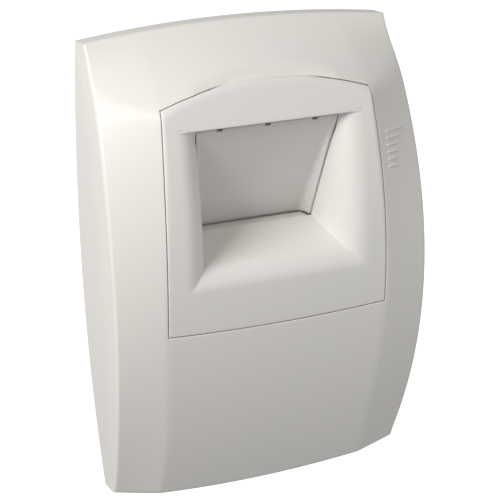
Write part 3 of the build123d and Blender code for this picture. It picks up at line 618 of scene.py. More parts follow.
# %% Plastic finishes
def satin_plastic(name, shade, warm, roughness, grain, relief):
    """A moulded plastic: shade and warm are its two colours, grain is in waves per metre."""
    finish = Finish(name)
    cloud = finish.noise(14.0, 3.0)
    speck = finish.noise(grain, 2.0)
    tint = finish.mix(finish.between(cloud, 0.35, 0.65), shade, warm)
    fine = finish.between(speck, 0.3, 0.7, 0.985, 1.0)
    grey = finish.node("ShaderNodeCombineXYZ", {}, {0: fine, 1: fine, 2: fine})
    tint = finish.node("ShaderNodeMix", {"data_type": "RGBA", "blend_type": "MULTIPLY"},
                       {0: 1.0, 6: tint, 7: grey}, 2)
    gloss = roughness + (cloud - 0.5) * 0.12 + (speck - 0.5) * 0.06
    return finish.surface(Base_Color=tint, Roughness=gloss, Normal=finish.bump(speck, relief))


for look in (
        ("satin_white_cover", (0.79, 0.768, 0.725), (0.80, 0.775, 0.722), 0.42, 2600.0, 0.012),
        ("satin_white_panel", (0.785, 0.765, 0.728), (0.795, 0.77, 0.728), 0.42, 2600.0, 0.012),
        ("satin_white_flap", (0.74, 0.72, 0.70), (0.75, 0.725, 0.70), 0.5, 2200.0, 0.012),
        ("grained_white_base", (0.70, 0.70, 0.68), (0.72, 0.705, 0.68), 0.55, 1500.0, 0.02),
        ("grained_white_spigot", (0.66, 0.66, 0.64), (0.68, 0.67, 0.64), 0.5, 1500.0, 0.02),
        ("grey_tray", (0.50, 0.51, 0.52), (0.53, 0.53, 0.53), 0.5, 1600.0, 0.02),
        ("black_plastic", (0.022, 0.022, 0.024), (0.03, 0.029, 0.03), 0.42, 1800.0, 0.015),
        ("blue_plastic", (0.03, 0.10, 0.34), (0.035, 0.11, 0.32), 0.35, 1800.0, 0.012),
        ("natural_acetal", (0.82, 0.80, 0.73), (0.84, 0.81, 0.72), 0.3, 900.0, 0.01),
        ("white_sensor", (0.78, 0.79, 0.80), (0.80, 0.80, 0.79), 0.45, 1800.0, 0.012)):
    satin_plastic(*look)

# %% [markdown]
# ## Six grip bars
# Six small ribs stand on the right bevel, each shorter than the one above. One tree makes
# them all: points down a line, a straight path on each, a round section swept along it, and
# a ray for every vertex that drops the rib onto the sloping surface.


# %% Grip bars
def grip_bars(target):
    """Ribs of shrinking length that follow the surface of `target`."""
    tree = Tree("grip_bars")
    count = tree.size("Bars", 6, "NodeSocketInt")
    ratio = tree.size("Ratio", 0.62)
    sizes = (("Left", 56.7), ("Top", 57.5 + MIDDLE), ("Pitch", 3.18), ("Longest", 11.0),
             ("Shortest", 4.6), ("Width", 1.25), ("Rise", 0.5))
    left, top, pitch, longest, shortest, width, rise = [tree.size(name, mm * MM) for name, mm in sizes]
    first = tree.xyz(X=left, Z=top)
    step = tree.xyz(Z=tree.math("MULTIPLY", pitch, -1.0))
    line = tree.node("GeometryNodeMeshLine", Count=count, Start_Location=first, Offset=step)
    index = tree.node("GeometryNodeInputIndex")
    shrink = tree.math("POWER", ratio, index)
    extra = tree.math("MULTIPLY", tree.math("SUBTRACT", longest, shortest), shrink)
    length = tree.math("ADD", shortest, extra)
    size = tree.xyz(X=length, Y=1.0, Z=1.0)
    path = tree.node("GeometryNodeCurvePrimitiveLine", End=(1.0, 0.0, 0.0))
    paths = tree.node("GeometryNodeInstanceOnPoints", Points=line, Instance=path, Scale=size)
    real = tree.node("GeometryNodeRealizeInstances", Geometry=paths)
    fine = tree.node("GeometryNodeResampleCurve", Curve=real, Count=48)
    half = tree.math("MULTIPLY", width, 0.5)
    along = tree.node("GeometryNodeSplineParameter")
    whole = tree.node("GeometryNodeSplineLength")
    rest = tree.math("SUBTRACT", whole.outputs["Length"], along.outputs["Length"])
    to_end = tree.math("MINIMUM", along.outputs["Length"], rest)
    inside = tree.math("MAXIMUM", tree.math("SUBTRACT", 1.0, tree.math("DIVIDE", to_end, half)), 0.0)
    swell = tree.math("SQRT", tree.math("SUBTRACT", 1.02, tree.math("MULTIPLY", inside, inside)))
    section = tree.node("GeometryNodeCurvePrimitiveCircle", Resolution=14, Radius=half)
    rib = tree.node("GeometryNodeCurveToMesh", Curve=fine, Profile_Curve=section, Scale=swell,
                    Fill_Caps=True)
    place = tree.node("GeometryNodeInputPosition")
    parts = tree.node("ShaderNodeSeparateXYZ", Vector=place)
    source = tree.xyz(X=parts.outputs["X"], Y=-0.2, Z=parts.outputs["Z"])
    body = tree.node("GeometryNodeObjectInfo", Object=target)
    ray = tree.node("GeometryNodeRaycast", _0=body.outputs["Geometry"], Source_Position=source,
                    Ray_Direction=(0.0, 1.0, 0.0), Ray_Length=1.0)
    hit = tree.node("ShaderNodeSeparateXYZ", Vector=ray.outputs["Hit Position"])
    flatter = tree.math("MULTIPLY", parts.outputs["Y"], tree.math("DIVIDE", rise, half))
    sunk = tree.math("ADD", hit.outputs["Y"], flatter)
    moved = tree.xyz(X=parts.outputs["X"], Y=sunk, Z=parts.outputs["Z"])
    ribs = tree.node("GeometryNodeSetPosition", Geometry=rib, Position=moved)
    return tree.finish(ribs, "satin_white_cover", "grip_bars")


bars = grip_bars(cover)

# %% [markdown]
# ## The recess panel
# The panel is a flat-looking face that turns inwards through wide radii into a tapering
# hopper. Its floor rolls over a round lip at the bottom, and the walls end on a slanted line
# where the flap begins. A plan curve gives the walls and a side profile gives the floor.
# Mesh lines follow the mitre where the two meet, which keeps that corner clean.

# %% Recess curves
LIP_Z = -2.6
LIP_R = 11.0
HEADER_Z = 68.4
HEADER_ROUND = 0.6
MOUTH_X = 45.0
FLARE = 12.0               # depth over which the walls flare into the face
THROAT_X = 29.4            # half width at the foot of the slanted edge
TAPER = 0.189
EDGE_LOW = (19.8, 16.6)    # slanted rear edge of the hopper: depth and height of its ends
EDGE_HIGH = (42.4, 68.4)
EDGE_STOP = 39.6           # depth above which the slanted edge turns upright
LIP_D = float(band_depth(LIP_Z))
PANEL_WALL = 1.8


def throat_x(depth):
    """Half width of the straight part of the walls."""
    return THROAT_X + TAPER * (depth - EDGE_LOW[0])


def wall_plan():
    """Plan of a side wall from the mouth inwards: lengths, x and depth."""
    turn = np.array([throat_x(LIP_D - FLARE), LIP_D - FLARE])
    pull = np.array([throat_x(LIP_D), LIP_D])
    mouth = np.array([MOUTH_X, LIP_D])
    points = rounding(mouth, pull, turn, 80)
    points.append(np.array([throat_x(5.0), 5.0]))
    points = np.array(points)
    steps = np.linalg.norm(np.diff(points, axis=0), axis=1)
    return np.concatenate([[0.0], np.cumsum(steps)]), points[:, 0], points[:, 1]


PLAN_LENGTH, PLAN_X, PLAN_D = wall_plan()


def floor_profile():
    """Side profile of the floor from the lip inwards: shares of its length, depth and height."""
    end = math.atan2(EDGE_HIGH[1] - EDGE_LOW[1], EDGE_HIGH[0] - EDGE_LOW[0])
    angles = spread(0.0, end, 60)
    depth = list(LIP_D - LIP_R + LIP_R * np.cos(angles)) + [EDGE_LOW[0]]
    height = list(LIP_Z + LIP_R * np.sin(angles)) + [EDGE_LOW[1]]
    steps = np.hypot(np.diff(depth), np.diff(height))
    length = np.concatenate([[0.0], np.cumsum(steps)])
    return length / length[-1], np.array(depth), np.array(height)


FLOOR_SHARE, FLOOR_D, FLOOR_Z = floor_profile()


def recess_height(row):
    """Height of rows 1 to 3: the floor, then the slanted edge."""
    floor = np.interp(row - 1, FLOOR_SHARE, FLOOR_Z)
    return np.where(row < 2, floor, EDGE_LOW[1] + (EDGE_HIGH[1] - EDGE_LOW[1]) * (row - 2))


def recess_rear(height):
    """Depth at which a wall ends: on the floor, or on the slanted edge."""
    floor = np.interp(height, FLOOR_Z, FLOOR_D)
    share = (height - EDGE_LOW[1]) / (EDGE_HIGH[1] - EDGE_LOW[1])
    edge = np.minimum(EDGE_LOW[0] + (EDGE_HIGH[0] - EDGE_LOW[0]) * share, EDGE_STOP)
    return np.where(height < EDGE_LOW[1], floor, edge)


def wall_point(share, height):
    """(x, depth) on a wall, from its mouth (share 0) to its rear edge (share 1)."""
    follow = front_depth(MOUTH_X, height) - LIP_D
    rear = np.interp(-(recess_rear(height) - follow), -PLAN_D, PLAN_LENGTH)
    length = share * rear
    return np.interp(length, PLAN_LENGTH, PLAN_X), np.interp(length, PLAN_LENGTH, PLAN_D) + follow


print("depth of the lip in mm:", round(LIP_D, 2))

# %% [markdown]
# ## The panel's grids
# Columns run from -4 to 4: the face strip outside 3, the wall between 3 and 2, and the floor
# inside 2. Rows run from 0 to 4: the face below the lip, the floor, the walls beside the
# flap, and the face above the header. Solidify then gives the sheet its wall.

# %% Panel grids
PANEL_COLUMNS = np.concatenate([spread(-4, -3, 10), spread(-3, -2, 30)[1:], spread(-2, 2, 60)[1:],
                                spread(2, 3, 30)[1:], spread(3, 4, 10)[1:]])
LOW_ROWS = spread(0, 1, 18)
FLOOR_ROWS = spread(1, 2, 34)
WALL_ROWS = spread(2, 3, 44)
HIGH_ROWS = spread(3, 4, 16)
GATHER = 14.0              # how far the middle columns gather towards the lower edge


def face_x(column, row, height, inset):
    """x of a grid place on the panel's face or mouth."""
    wide = np.abs(column)
    edge = crease_x(height) - inset
    level = np.clip(row, 1, 3)
    inner, _ = wall_point(np.ones_like(wide), recess_height(level))
    inner = inner - GATHER * np.clip(1 - row, 0, 1)
    on_wall, _ = wall_point(3 - np.clip(wide, 2, 3), recess_height(level) + 0.0 * wide)
    on_wall = np.where(row < 1, inner + (MOUTH_X - inner) * (wide - 2), on_wall)
    x = np.where(wide > 3, MOUTH_X + (edge - MOUTH_X) * (wide - 3),
                 np.where(wide > 2, on_wall, inner * wide / 2))
    return np.sign(column) * x


def header_round(column):
    """Radius of the header's edge; it fades where the header runs out into the face."""
    share = 3 - np.clip(np.abs(column), 2, 3)
    x, depth = wall_point(share, np.full_like(share, HEADER_Z))
    under = front_depth(x, HEADER_Z) - depth
    return np.where(np.abs(column) < 3, np.minimum(HEADER_ROUND, 0.45 * under), 0.0)


def on_face(column, row, inset):
    """(x, depth, height) on the panel's face, for rows 0 to 1 and 3 to 4 and its side strips."""
    column, row = np.broadcast_arrays(np.asarray(column, float), np.asarray(row, float))
    height = recess_height(np.clip(row, 1, 3))
    for _ in range(5):
        x = face_x(column, row, height, inset)
        low = panel_bottom(x) + inset
        high = panel_top(x) - inset
        start = HEADER_Z + header_round(column)
        height = np.where(row < 1, low + (LIP_Z - low) * row,
                          np.where(row > 3, start + (high - start) * (row - 3),
                                   np.where(row == 3, start, recess_height(np.clip(row, 1, 3)))))
    return place(x, front_depth(x, height), height)


def on_wall(column, row):
    """(x, depth, height) on a side wall, for columns 2 to 3 and rows 1 to 3."""
    column, row = np.broadcast_arrays(np.asarray(column, float), np.asarray(row, float))
    height = recess_height(row)
    x, depth = wall_point(3 - np.abs(column), height)
    return place(np.sign(column) * x, depth, height)


def on_floor(column, row):
    """(x, depth, height) on the floor and its lip, for rows 1 to 2."""
    column, row = np.broadcast_arrays(np.asarray(column, float), np.asarray(row, float))
    height = recess_height(row)
    x, _ = wall_point(np.ones_like(height), height)
    return place(x * column / 2, recess_rear(height), height)


def columns_between(low, high):
    """The panel's columns from low to high."""
    return PANEL_COLUMNS[(PANEL_COLUMNS > low - 1e-6) & (PANEL_COLUMNS < high + 1e-6)]


def table(function, rows, columns, *more):
    """A function of (column, row) over a whole grid."""
    row, column = np.meshgrid(rows, columns, indexing="ij")
    return function(column, row, *more)


def bar(name, section, low_x, high_x, soft):
    """A bar along x with a section of (depth, height) corners and softly rounded edges."""
    work = bmesh.new()
    ends = []
    for x in (low_x, high_x):
        ends.append([work.verts.new(to_metres(np.array([x, depth, height]))) for depth, height in section])
    work.faces.new(ends[0])
    work.faces.new(ends[1])
    for i in range(len(section)):
        j = (i + 1) % len(section)
        work.faces.new([ends[0][i], ends[0][j], ends[1][j], ends[1][i]])
    bmesh.ops.recalc_face_normals(work, faces=work.faces)
    bmesh.ops.bevel(work, geom=work.edges[:], offset=soft * MM, segments=3, profile=0.5, affect="EDGES")
    return linked(name, work, bpy.data.meshes.new(name))


def recess_panel():
    """The panel as a thick moulding."""
    skin = Skin()
    side_rows = np.concatenate([FLOOR_ROWS, WALL_ROWS[1:]])
    skin.grid(table(on_face, LOW_ROWS, PANEL_COLUMNS, EDGE_ROUND))
    skin.grid(table(on_face, HIGH_ROWS, PANEL_COLUMNS, EDGE_ROUND))
    for side in (-1, 1):
        strip = np.sort(side * columns_between(3, 4))
        wall = np.sort(side * columns_between(2, 3))
        skin.grid(table(on_face, side_rows, strip, EDGE_ROUND))
        skin.grid(table(on_wall, side_rows, wall))
    skin.grid(table(on_floor, FLOOR_ROWS, columns_between(-2, 2)))
    header = columns_between(-3, 3)
    above = on_face(header, 3.0, EDGE_ROUND)
    radius = header_round(header)
    corner = above - place(0.0, 0.0, radius)
    rows = rounding(above, corner, deeper(corner, radius), 5)
    wall = on_wall(np.sign(header) * np.clip(np.abs(header), 2, 3), 3.0)
    rear_depth = np.where(np.abs(header) < 2, EDGE_HIGH[0], wall[:, 1])
    rear = place(above[:, 0], rear_depth, corner[:, 2])
    for share in spread(0.0, 1.0, 4)[1:]:
        rows.append(rows[5] + (rear - rows[5]) * share)
    skin.grid(rows)
    all_rows = np.concatenate([LOW_ROWS, FLOOR_ROWS[1:], WALL_ROWS[1:], HIGH_ROWS[1:]])
    rim = loop(PANEL_COLUMNS, all_rows)
    inside = on_face(rim[:, 0], rim[:, 1], EDGE_ROUND)
    corner = on_face(rim[:, 0], rim[:, 1], 0.0)
    walls = rounding(inside, corner, deeper(corner, EDGE_ROUND), 4)
    walls.append(deeper(corner, PANEL_WALL + 0.1))
    skin.grid(walls, closed=True)
    return thickened(skin.object("recess_panel_skin", towards=(0, -1, 0)), PANEL_WALL)


TONGUE = [(11.3, 15.2), (20.2, 15.2), (20.2, 16.6), (11.3, 16.6)]
panel = recess_panel()
tongue = bar("panel_tongue", TONGUE, -27.6, 27.6, 0.3)
print("panel faces:", len(panel.data.polygons), "tongue faces:", len(tongue.data.polygons))

# %% [markdown]
# ## Behind the flap
# No daylight shows round the closed flap on the real object. A low sill stands behind the
# flap's foot, and a cheek stands behind each slanted edge. The flap swings between the
# cheeks, which follow its taper.

# %% Sill and cheeks
SILL = [(6.9, 12.5), (8.3, 12.5), (8.3, 17.2), (6.9, 17.2)]
CHEEK_X = ((29.0, 30.6), (32.95, 34.8))    # inner and outer x at the foot and at the top
CHEEK_BEHIND = (2.2, 3.4)


def cheek(side):
    """A tapered strip behind one slanted edge of the hopper."""
    low, high = np.array(EDGE_LOW), np.array(EDGE_HIGH)
    along = (high - low) / np.linalg.norm(high - low)
    rear = np.array([-along[1], along[0]])
    rows = []
    for share in spread(0.0, 1.0, 12):
        x = np.array(CHEEK_X[0]) + (np.array(CHEEK_X[1]) - np.array(CHEEK_X[0])) * share
        on_edge = low + (high - low) * share
        front, back = on_edge + rear * CHEEK_BEHIND[0], on_edge + rear * CHEEK_BEHIND[1]
        corners = [(x[0], front), (x[1], front), (x[1], back), (x[0], back)]
        rows.append([[side * wide, place[0], place[1]] for wide, place in corners])
    middles = [np.mean(rows[0], axis=0), np.mean(rows[-1], axis=0)]
    rows = [[middles[0]] * 4] + rows + [[middles[1]] * 4]
    skin = Skin()
    skin.grid(rows, closed=True)
    return skin.object(f"frame_cheek_{'left' if side < 0 else 'right'}")


sill = joined("frame_sill", [bar("sill", SILL, -27.9, 27.9, 0.3), cheek(-1), cheek(1)])
print("sill faces:", len(sill.data.polygons))

# %% [markdown]
# ## The flap
# The flap is a shallow tray: a plate that leans forward and two wings that stand up at its
# sides, deepest at the hinge. It is drawn as one sheet that bends round soft corners, then
# thickened. Three small notches at its tip let it pass the header. The bearing ears are
# short tubes round the axles.

# %% Flap sheet
FLAP_LOW = np.array([10.6, 17.0])    # foot and tip of the plate's front face
FLAP_HIGH = np.array([41.2, 67.4])
WING_CORNER = np.array([18.9, 17.2])
FLAP_WALL = 1.5
FLAP_X = (28.6, 32.5)      # half width at the foot and at the tip
BEND = (3.4, 1.8)          # bend radius at the foot and at the tip
NOTCH_AT = (-23.0, 0.0, 23.0)
NOTCH_HALF = 1.3
NOTCH_DEEP = 1.5
NOTCH_EDGES = np.array([NOTCH_HALF, NOTCH_HALF + 0.2])
PIVOT = (10.0, 18.8)
EAR_R = 2.6
EAR_BORE = 1.6
EAR_ENDS = (28.6, 33.6)
FLAP_LENGTH = float(np.linalg.norm(FLAP_HIGH - FLAP_LOW))
FLAP_ALONG = (FLAP_HIGH - FLAP_LOW) / FLAP_LENGTH
FLAP_OUT = np.array([FLAP_ALONG[1], -FLAP_ALONG[0]])
WING_ALONG = float((WING_CORNER - FLAP_LOW) @ FLAP_ALONG)
WING_OUT = float((WING_CORNER - FLAP_LOW) @ FLAP_OUT)


def flap_section(share):
    """(x, out) across half the flap at a share of its length, from the middle to the wing's edge."""
    half = FLAP_X[0] + (FLAP_X[1] - FLAP_X[0]) * share
    tall = WING_OUT * (1 - share) + 0.15
    radius = min(BEND[0] + (BEND[1] - BEND[0]) * share, 0.9 * tall)
    flat = sorted([0.0, *NOTCH_EDGES, *(NOTCH_AT[2] - NOTCH_EDGES), *(NOTCH_AT[2] + NOTCH_EDGES),
                   *np.arange(3.0, 20.0, 1.5)])
    points = [(x, 0.0) for x in flat]
    for angle in spread(0.0, math.pi / 2, 9):
        points.append((half - radius + radius * math.sin(angle), radius - radius * math.cos(angle)))
    for out in spread(radius, tall, 8)[1:]:
        points.append((half, out))
    return np.array(points)


def flap_row(share):
    """One row of (x, depth, height) points across the whole flap."""
    right = flap_section(share)
    section = np.concatenate([right[:0:-1] * (-1, 1), right])
    along = share * FLAP_LENGTH + section[:, 1] * WING_ALONG / WING_OUT * (1 - share)
    if share == 1.0:
        for at in NOTCH_AT:
            along = along - NOTCH_DEEP * (np.abs(section[:, 0] - at) < NOTCH_HALF + 0.01)
    place = FLAP_LOW + np.outer(along, FLAP_ALONG) + np.outer(section[:, 1], FLAP_OUT)
    return np.column_stack([section[:, 0], place])


def tube_x(x0, x1, depth, height, outer, bore, edge=0.25, turns=48):
    """A bored tube along X with rounded rims, as an object."""
    skin = Skin()
    profile = [(x0, bore), (x0, outer - edge), (x0 + edge * 0.3, outer - edge * 0.3), (x0 + edge, outer),
               (x1 - edge, outer), (x1 - edge * 0.3, outer - edge * 0.3), (x1, outer - edge), (x1, bore),
               (x0, bore)]
    angles = spread(0.0, 2 * math.pi, turns)[:-1]
    skin.grid([place(x, depth + radius * np.cos(angles), height + radius * np.sin(angles))
               for x, radius in profile], closed=True)
    return skin.object("tube")


def shutter_flap():
    """The flap with its ears."""
    skin = Skin()
    shares = list(spread(0.0, 0.93, 46)) + [1 - NOTCH_DEEP / FLAP_LENGTH - 0.004, 1.0]
    skin.grid([flap_row(share) for share in shares])
    tray = skin.object("tray", towards=(0, -1, 0))
    tray = thickened(tray, FLAP_WALL)
    bevel = tray.modifiers.new("edges", "BEVEL")
    bevel.width = 0.25 * MM
    bevel.segments = 2
    bevel.limit_method = "ANGLE"
    bevel.angle_limit = math.radians(50)
    applied(tray, 40.0)
    ears = []
    for side in (-1, 1):
        near, far = sorted((side * EAR_ENDS[0], side * EAR_ENDS[1]))
        ears.append(tube_x(near, far, PIVOT[0], PIVOT[1], EAR_R, EAR_BORE))
    return joined("flap_tray", [tray] + ears)


flap = shutter_flap()
print("flap faces:", len(flap.data.polygons))

# %% [markdown]
# ## Finishes for the inner parts
# Metal, rubber, foam and the circuit board are only seen when the cover comes off, but they
# get the same care. Each one is a short formula on the piece's own coordinates: brushed
# streaks for plated steel, cells for foam, and a pattern of tracks for the board.


# %% Inner finishes
def plated_steel(name, tone, stretch, roughness):
    """Plated metal with fine streaks; stretch squeezes the noise along one axis."""
    finish = Finish(name)
    mapping = finish.node("ShaderNodeMapping", {}, {"Vector": finish.place, "Scale": stretch})
    streak = finish.noise(1200.0, 4.0, mapping)
    cloud = finish.noise(90.0, 3.0)
    darker = tuple(channel * 0.82 for channel in tone)
    tint = finish.mix(finish.between(streak, 0.3, 0.7), darker, tone)
    gloss = roughness + (streak - 0.5) * 0.2 + (cloud - 0.5) * 0.15
    return finish.surface(Base_Color=tint, Metallic=1.0, Roughness=gloss, Normal=finish.bump(streak, 0.006))


def moulded_rubber(name, shade):
    """Soft black rubber with a dusty bloom."""
    finish = Finish(name)
    bloom = finish.noise(60.0, 4.0)
    grain = finish.noise(1400.0, 3.0)
    lighter = tuple(channel + 0.035 for channel in shade)
    tint = finish.mix(finish.between(bloom, 0.45, 0.75), shade, lighter)
    gloss = 0.62 + (bloom - 0.5) * 0.3
    return finish.surface(Base_Color=tint, Roughness=gloss, Normal=finish.bump(grain, 0.03))


def open_foam(name, shade):
    """Open-cell foam: dark pores between pale cell walls; the dark in the pores is painted shade and the
    pale walls are painted light.
    """
    finish = Finish(name)
    cells = finish.node("ShaderNodeTexVoronoi", {"feature": "DISTANCE_TO_EDGE"},
                        {"Vector": finish.place, "Scale": 620.0}, "Distance")
    large = finish.noise(120.0, 4.0)
    # Painted light and shade: the cell walls are painted paler as lit, the pores darker as shade inside the
    # cells.
    wall = finish.between(cells, 0.02, 0.28, 1.0, 0.0)
    pale = tuple(channel * 2.6 for channel in shade)
    tint = finish.mix(wall * finish.between(large, 0.3, 0.7, 0.6, 1.0), shade, pale)
    return finish.surface(Base_Color=tint, Roughness=0.95, Normal=finish.bump(wall, 0.35, 0.8))


def board_laminate(name):
    """Green solder mask over copper tracks, with tinned dots where parts are soldered."""
    finish = Finish(name)
    x = finish.axis("X")
    z = finish.axis("Z")
    weave = finish.noise(900.0, 2.0)
    lane = finish.noise(55.0, 0.0)
    across = finish.node("ShaderNodeMath", {"operation": "PINGPONG"}, {0: x + lane * 0.006, 1: 0.0011})
    along = finish.node("ShaderNodeMath", {"operation": "PINGPONG"}, {0: z + lane * 0.008, 1: 0.0014})
    track_x = finish.between(across, 0.00035, 0.00045, 1.0, 0.0)
    track_z = finish.between(along, 0.00035, 0.00045, 1.0, 0.0)
    pick = finish.noise(70.0, 1.0).over(0.52)
    tracks = track_x * pick + track_z * (1.0 - pick)
    mask = finish.mix(finish.between(weave, 0.3, 0.7), (0.012, 0.13, 0.045), (0.016, 0.15, 0.055))
    tint = finish.mix(tracks * 0.75, mask, (0.04, 0.26, 0.09))
    relief = finish.bump(tracks, 0.05)
    return finish.surface(Base_Color=tint, Roughness=0.28 + (weave - 0.5) * 0.1, Normal=relief,
                          Coat_Weight=0.3, Coat_Roughness=0.1)


def cell_sleeve(name):
    """Printed sleeve of a dry cell: dark shrink film with one pale band at each end."""
    finish = Finish(name)
    x = finish.axis("X")
    repeat = finish.node("ShaderNodeMath", {"operation": "PINGPONG"}, {0: x + 0.0005, 1: 0.0507})
    band = finish.between(repeat, 0.0385, 0.0388) * finish.between(repeat, 0.0472, 0.0475, 1.0, 0.0)
    wrinkle = finish.noise(260.0, 3.0)
    tint = finish.mix(band, (0.03, 0.034, 0.045), (0.55, 0.36, 0.10))
    return finish.surface(Base_Color=tint, Metallic=0.35, Roughness=0.3 + (wrinkle - 0.5) * 0.2,
                          Normal=finish.bump(wrinkle, 0.03))


for look in (
        ("drawn_steel", (0.62, 0.62, 0.63), (0.05, 1.0, 1.0), 0.3),
        ("folded_steel", (0.60, 0.60, 0.61), (1.0, 1.0, 0.05), 0.34),
        ("zinc_screw_steel", (0.64, 0.64, 0.62), (1.0, 1.0, 1.0), 0.32),
        ("satin_brass", (0.70, 0.53, 0.24), (0.2, 1.0, 1.0), 0.33)):
    plated_steel(*look)
moulded_rubber("black_rubber", (0.018, 0.018, 0.019))
open_foam("grey_foam", (0.05, 0.05, 0.055))
board_laminate("green_board")
cell_sleeve("cell_sleeve")
print("finishes:", len(bpy.data.materials))

# %% [markdown]
# ## Screws
# Eight small steel screws hold the duct parts and the board. Each one has a domed pan head,
# a cross slot and a thread. One screw is turned like on a lathe, the slot is cut with a
# Boolean, and Geometry Nodes puts a copy on each place, turned by its own chance amount.


# %% Screws
def turned_screw(head_r, head_t, shaft_r, length, pitch):
    """One screw at the origin; the underside of its head is at y = 0 and its head faces -y."""
    angles = spread(0.0, 2 * math.pi, 36)[:-1]
    core = 0.76 * shaft_r
    outline = []
    for t in spread(0.0, math.pi / 2, 8):
        outline.append((head_r * math.sin(t), head_t * (0.45 + 0.55 * math.cos(t))))
    outline += [(head_r, 0.12 * head_t), (0.96 * head_r, 0.0), (core, 0.0)]
    rows = list(outline)
    for back in np.arange(0.1, length - 0.5, pitch / 6):
        phase = (back / pitch + angles / (2 * math.pi)) % 1.0
        fade = min(1.0, back / pitch, (length - 0.5 - back) / pitch)
        crest = np.clip(1.0 - 1.7 * np.abs(2 * phase - 1), 0.0, 1.0) * fade
        rows.append((core + (shaft_r - core) * crest, -back))
    rows += [(core, 0.45 - length), (0.0, -length)]
    skin = Skin()
    skin.grid([place(radius * np.cos(angles), depth, radius * np.sin(angles))
               for radius, depth in rows], closed=True)
    screw = skin.object("turned_screw")
    arm, half, bottom, above = 0.6 * head_r, 0.14 * head_r, 0.4 * head_t, head_t + 1.0
    for wide, tall in ((arm, half), (half, arm)):
        section = [(bottom, -tall), (above, -tall), (above, tall), (bottom, tall)]
        cutter = bar("slot_cutter", section, -wide, wide, 0.05)
        slot = screw.modifiers.new("slot", "BOOLEAN")
        slot.operation = "DIFFERENCE"
        slot.object = cutter
        applied(screw)
        bpy.data.objects.remove(cutter)
    screw.data.transform(Matrix.Translation((0.0, 0.0, -MIDDLE * MM)))
    return screw


def screw_set(name, screw, half_x, half_z, centre, seed):
    """Four copies of a screw on the corners of a rectangle."""
    tree = Tree(name)
    spread_x = tree.size("Half width", half_x * MM)
    spread_z = tree.size("Half height", half_z * MM)
    square = tree.node("GeometryNodeMeshCircle", Vertices=4, Radius=math.sqrt(2.0))
    square = tree.node("GeometryNodeTransform", Geometry=square, Rotation=(0.0, 0.0, math.pi / 4))
    scale = tree.xyz(X=spread_x, Y=spread_z, Z=1.0)
    corners = tree.node("GeometryNodeTransform", Geometry=square, Scale=scale,
                        Translation=tuple(to_metres(centre).tolist()), Rotation=(math.pi / 2, 0.0, 0.0))
    body = tree.node("GeometryNodeObjectInfo", Object=screw)
    turn = tree.node("FunctionNodeRandomValue", {"data_type": "FLOAT_VECTOR"}, _0=(0.0, 0.0, 0.0),
                     _1=(0.0, 2 * math.pi, 0.0), Seed=seed)
    copies = tree.node("GeometryNodeInstanceOnPoints", Points=corners, Rotation=turn,
                       Instance=body.outputs["Geometry"])
    piece = tree.finish(copies, "zinc_screw_steel", name)
    bpy.data.objects.remove(screw)
    return piece


DUCT_AXIS_Z = 35.0
FLANGE_SCREW = 65.5 / math.sqrt(2.0)      # from the duct's axis, sideways and upwards
FLANGE_DEPTH = 6.0         # depth of the flange's face, under the heads
BOARD_DEPTH = 9.6
BOARD_Z = -76.3
BOARD_SCREW = (37.7, 16.2)
duct_screws = screw_set("duct_screws", turned_screw(2.6, 1.6, 1.2, 4.6, 0.8), FLANGE_SCREW, FLANGE_SCREW,
                        (0.0, FLANGE_DEPTH, DUCT_AXIS_Z), 3)
print_screws = screw_set("print_screws", turned_screw(1.9, 1.3, 0.9, 4.5, 0.6), *BOARD_SCREW,
                         (0.0, BOARD_DEPTH, BOARD_Z), 8)

# %% [markdown]
# ## Every CAD piece gets its finish
# A CAD piece keeps its mesh and only changes its material. One table names the finish of
# each node, so nothing is left plain. The rebuilt mouldings and screws stand in for theirs.

# %% Finishes of the nodes
FINISHES = [
    ("satin_white_cover", "front_cover"), ("satin_white_panel", "recess_panel"),
    ("satin_white_flap", "shutter_flap"), ("grained_white_base", "base_plate shutter_frame"),
    ("grained_white_spigot", "duct_spigot"), ("grey_tray", "control_tray control_lid"),
    ("black_plastic", "cell_holder gearbox timer_chip capacitors"),
    ("blue_plastic", "terminal_block trimmer_body"), ("white_sensor", "trimmer_knob humidity_sensor"),
    ("natural_acetal", "pivot_bushes sector_gear motor_pinion"),
    ("grey_foam", "wall_gasket acoustic_lining"), ("black_rubber", "spigot_seal cable_grommet flap_seal"),
    ("drawn_steel", "drive_motor motor_shaft flap_axles"), ("folded_steel", "motor_bracket cover_clips"),
    ("zinc_screw_steel", "bracket_screws board_screws frame_screws terminal_screws"),
    ("satin_brass", "cell_contacts"), ("green_board", "circuit_board"), ("cell_sleeve", "cells"),
]


def painted(piece, material):
    """Gives a piece one material, by its name."""
    piece.data.materials.clear()
    piece.data.materials.append(bpy.data.materials[material])


for material, names in FINISHES:
    for name in names.split():
        painted(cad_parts[name], material)
for piece, body, material, slot, node in (
        (cover, "cover", "satin_white_cover", "cover_plastic", "front_cover"),
        (bars, "cover", "satin_white_cover", "cover_plastic", None),
        (panel, "panel", "satin_white_panel", "cover_plastic", "recess_panel"),
        (tongue, "panel", "satin_white_panel", "cover_plastic", None),
        (sill, "base", "grained_white_base", "base_plastic", None),
        (duct_screws, "base", "zinc_screw_steel", "steel", "frame_screws"),
        (print_screws, "base", "zinc_screw_steel", "steel", "board_screws"),
        (flap, "flap", "satin_white_flap", "flap_plastic", "shutter_flap")):
    painted(piece, material)
    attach(piece, body)
    if node:
        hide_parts(node)
print("painted nodes:", len(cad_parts))

# %% [markdown]
# ## Camera
# The picture is taken from the left and a little above, with a long lens, so that the side
# wall shows and the upright lines stay nearly parallel. The camera is turned with three
# directions: where it looks, what is to its right, and what is up.

# %% Camera
CAMERA_PLACE = Vector((-0.2871, -0.7033, 0.1857))
LOOK = Vector((0.3692, 0.8860, -0.2807))
RIGHT = Vector((0.9179, -0.3949, -0.0390))
LENS = 120.2

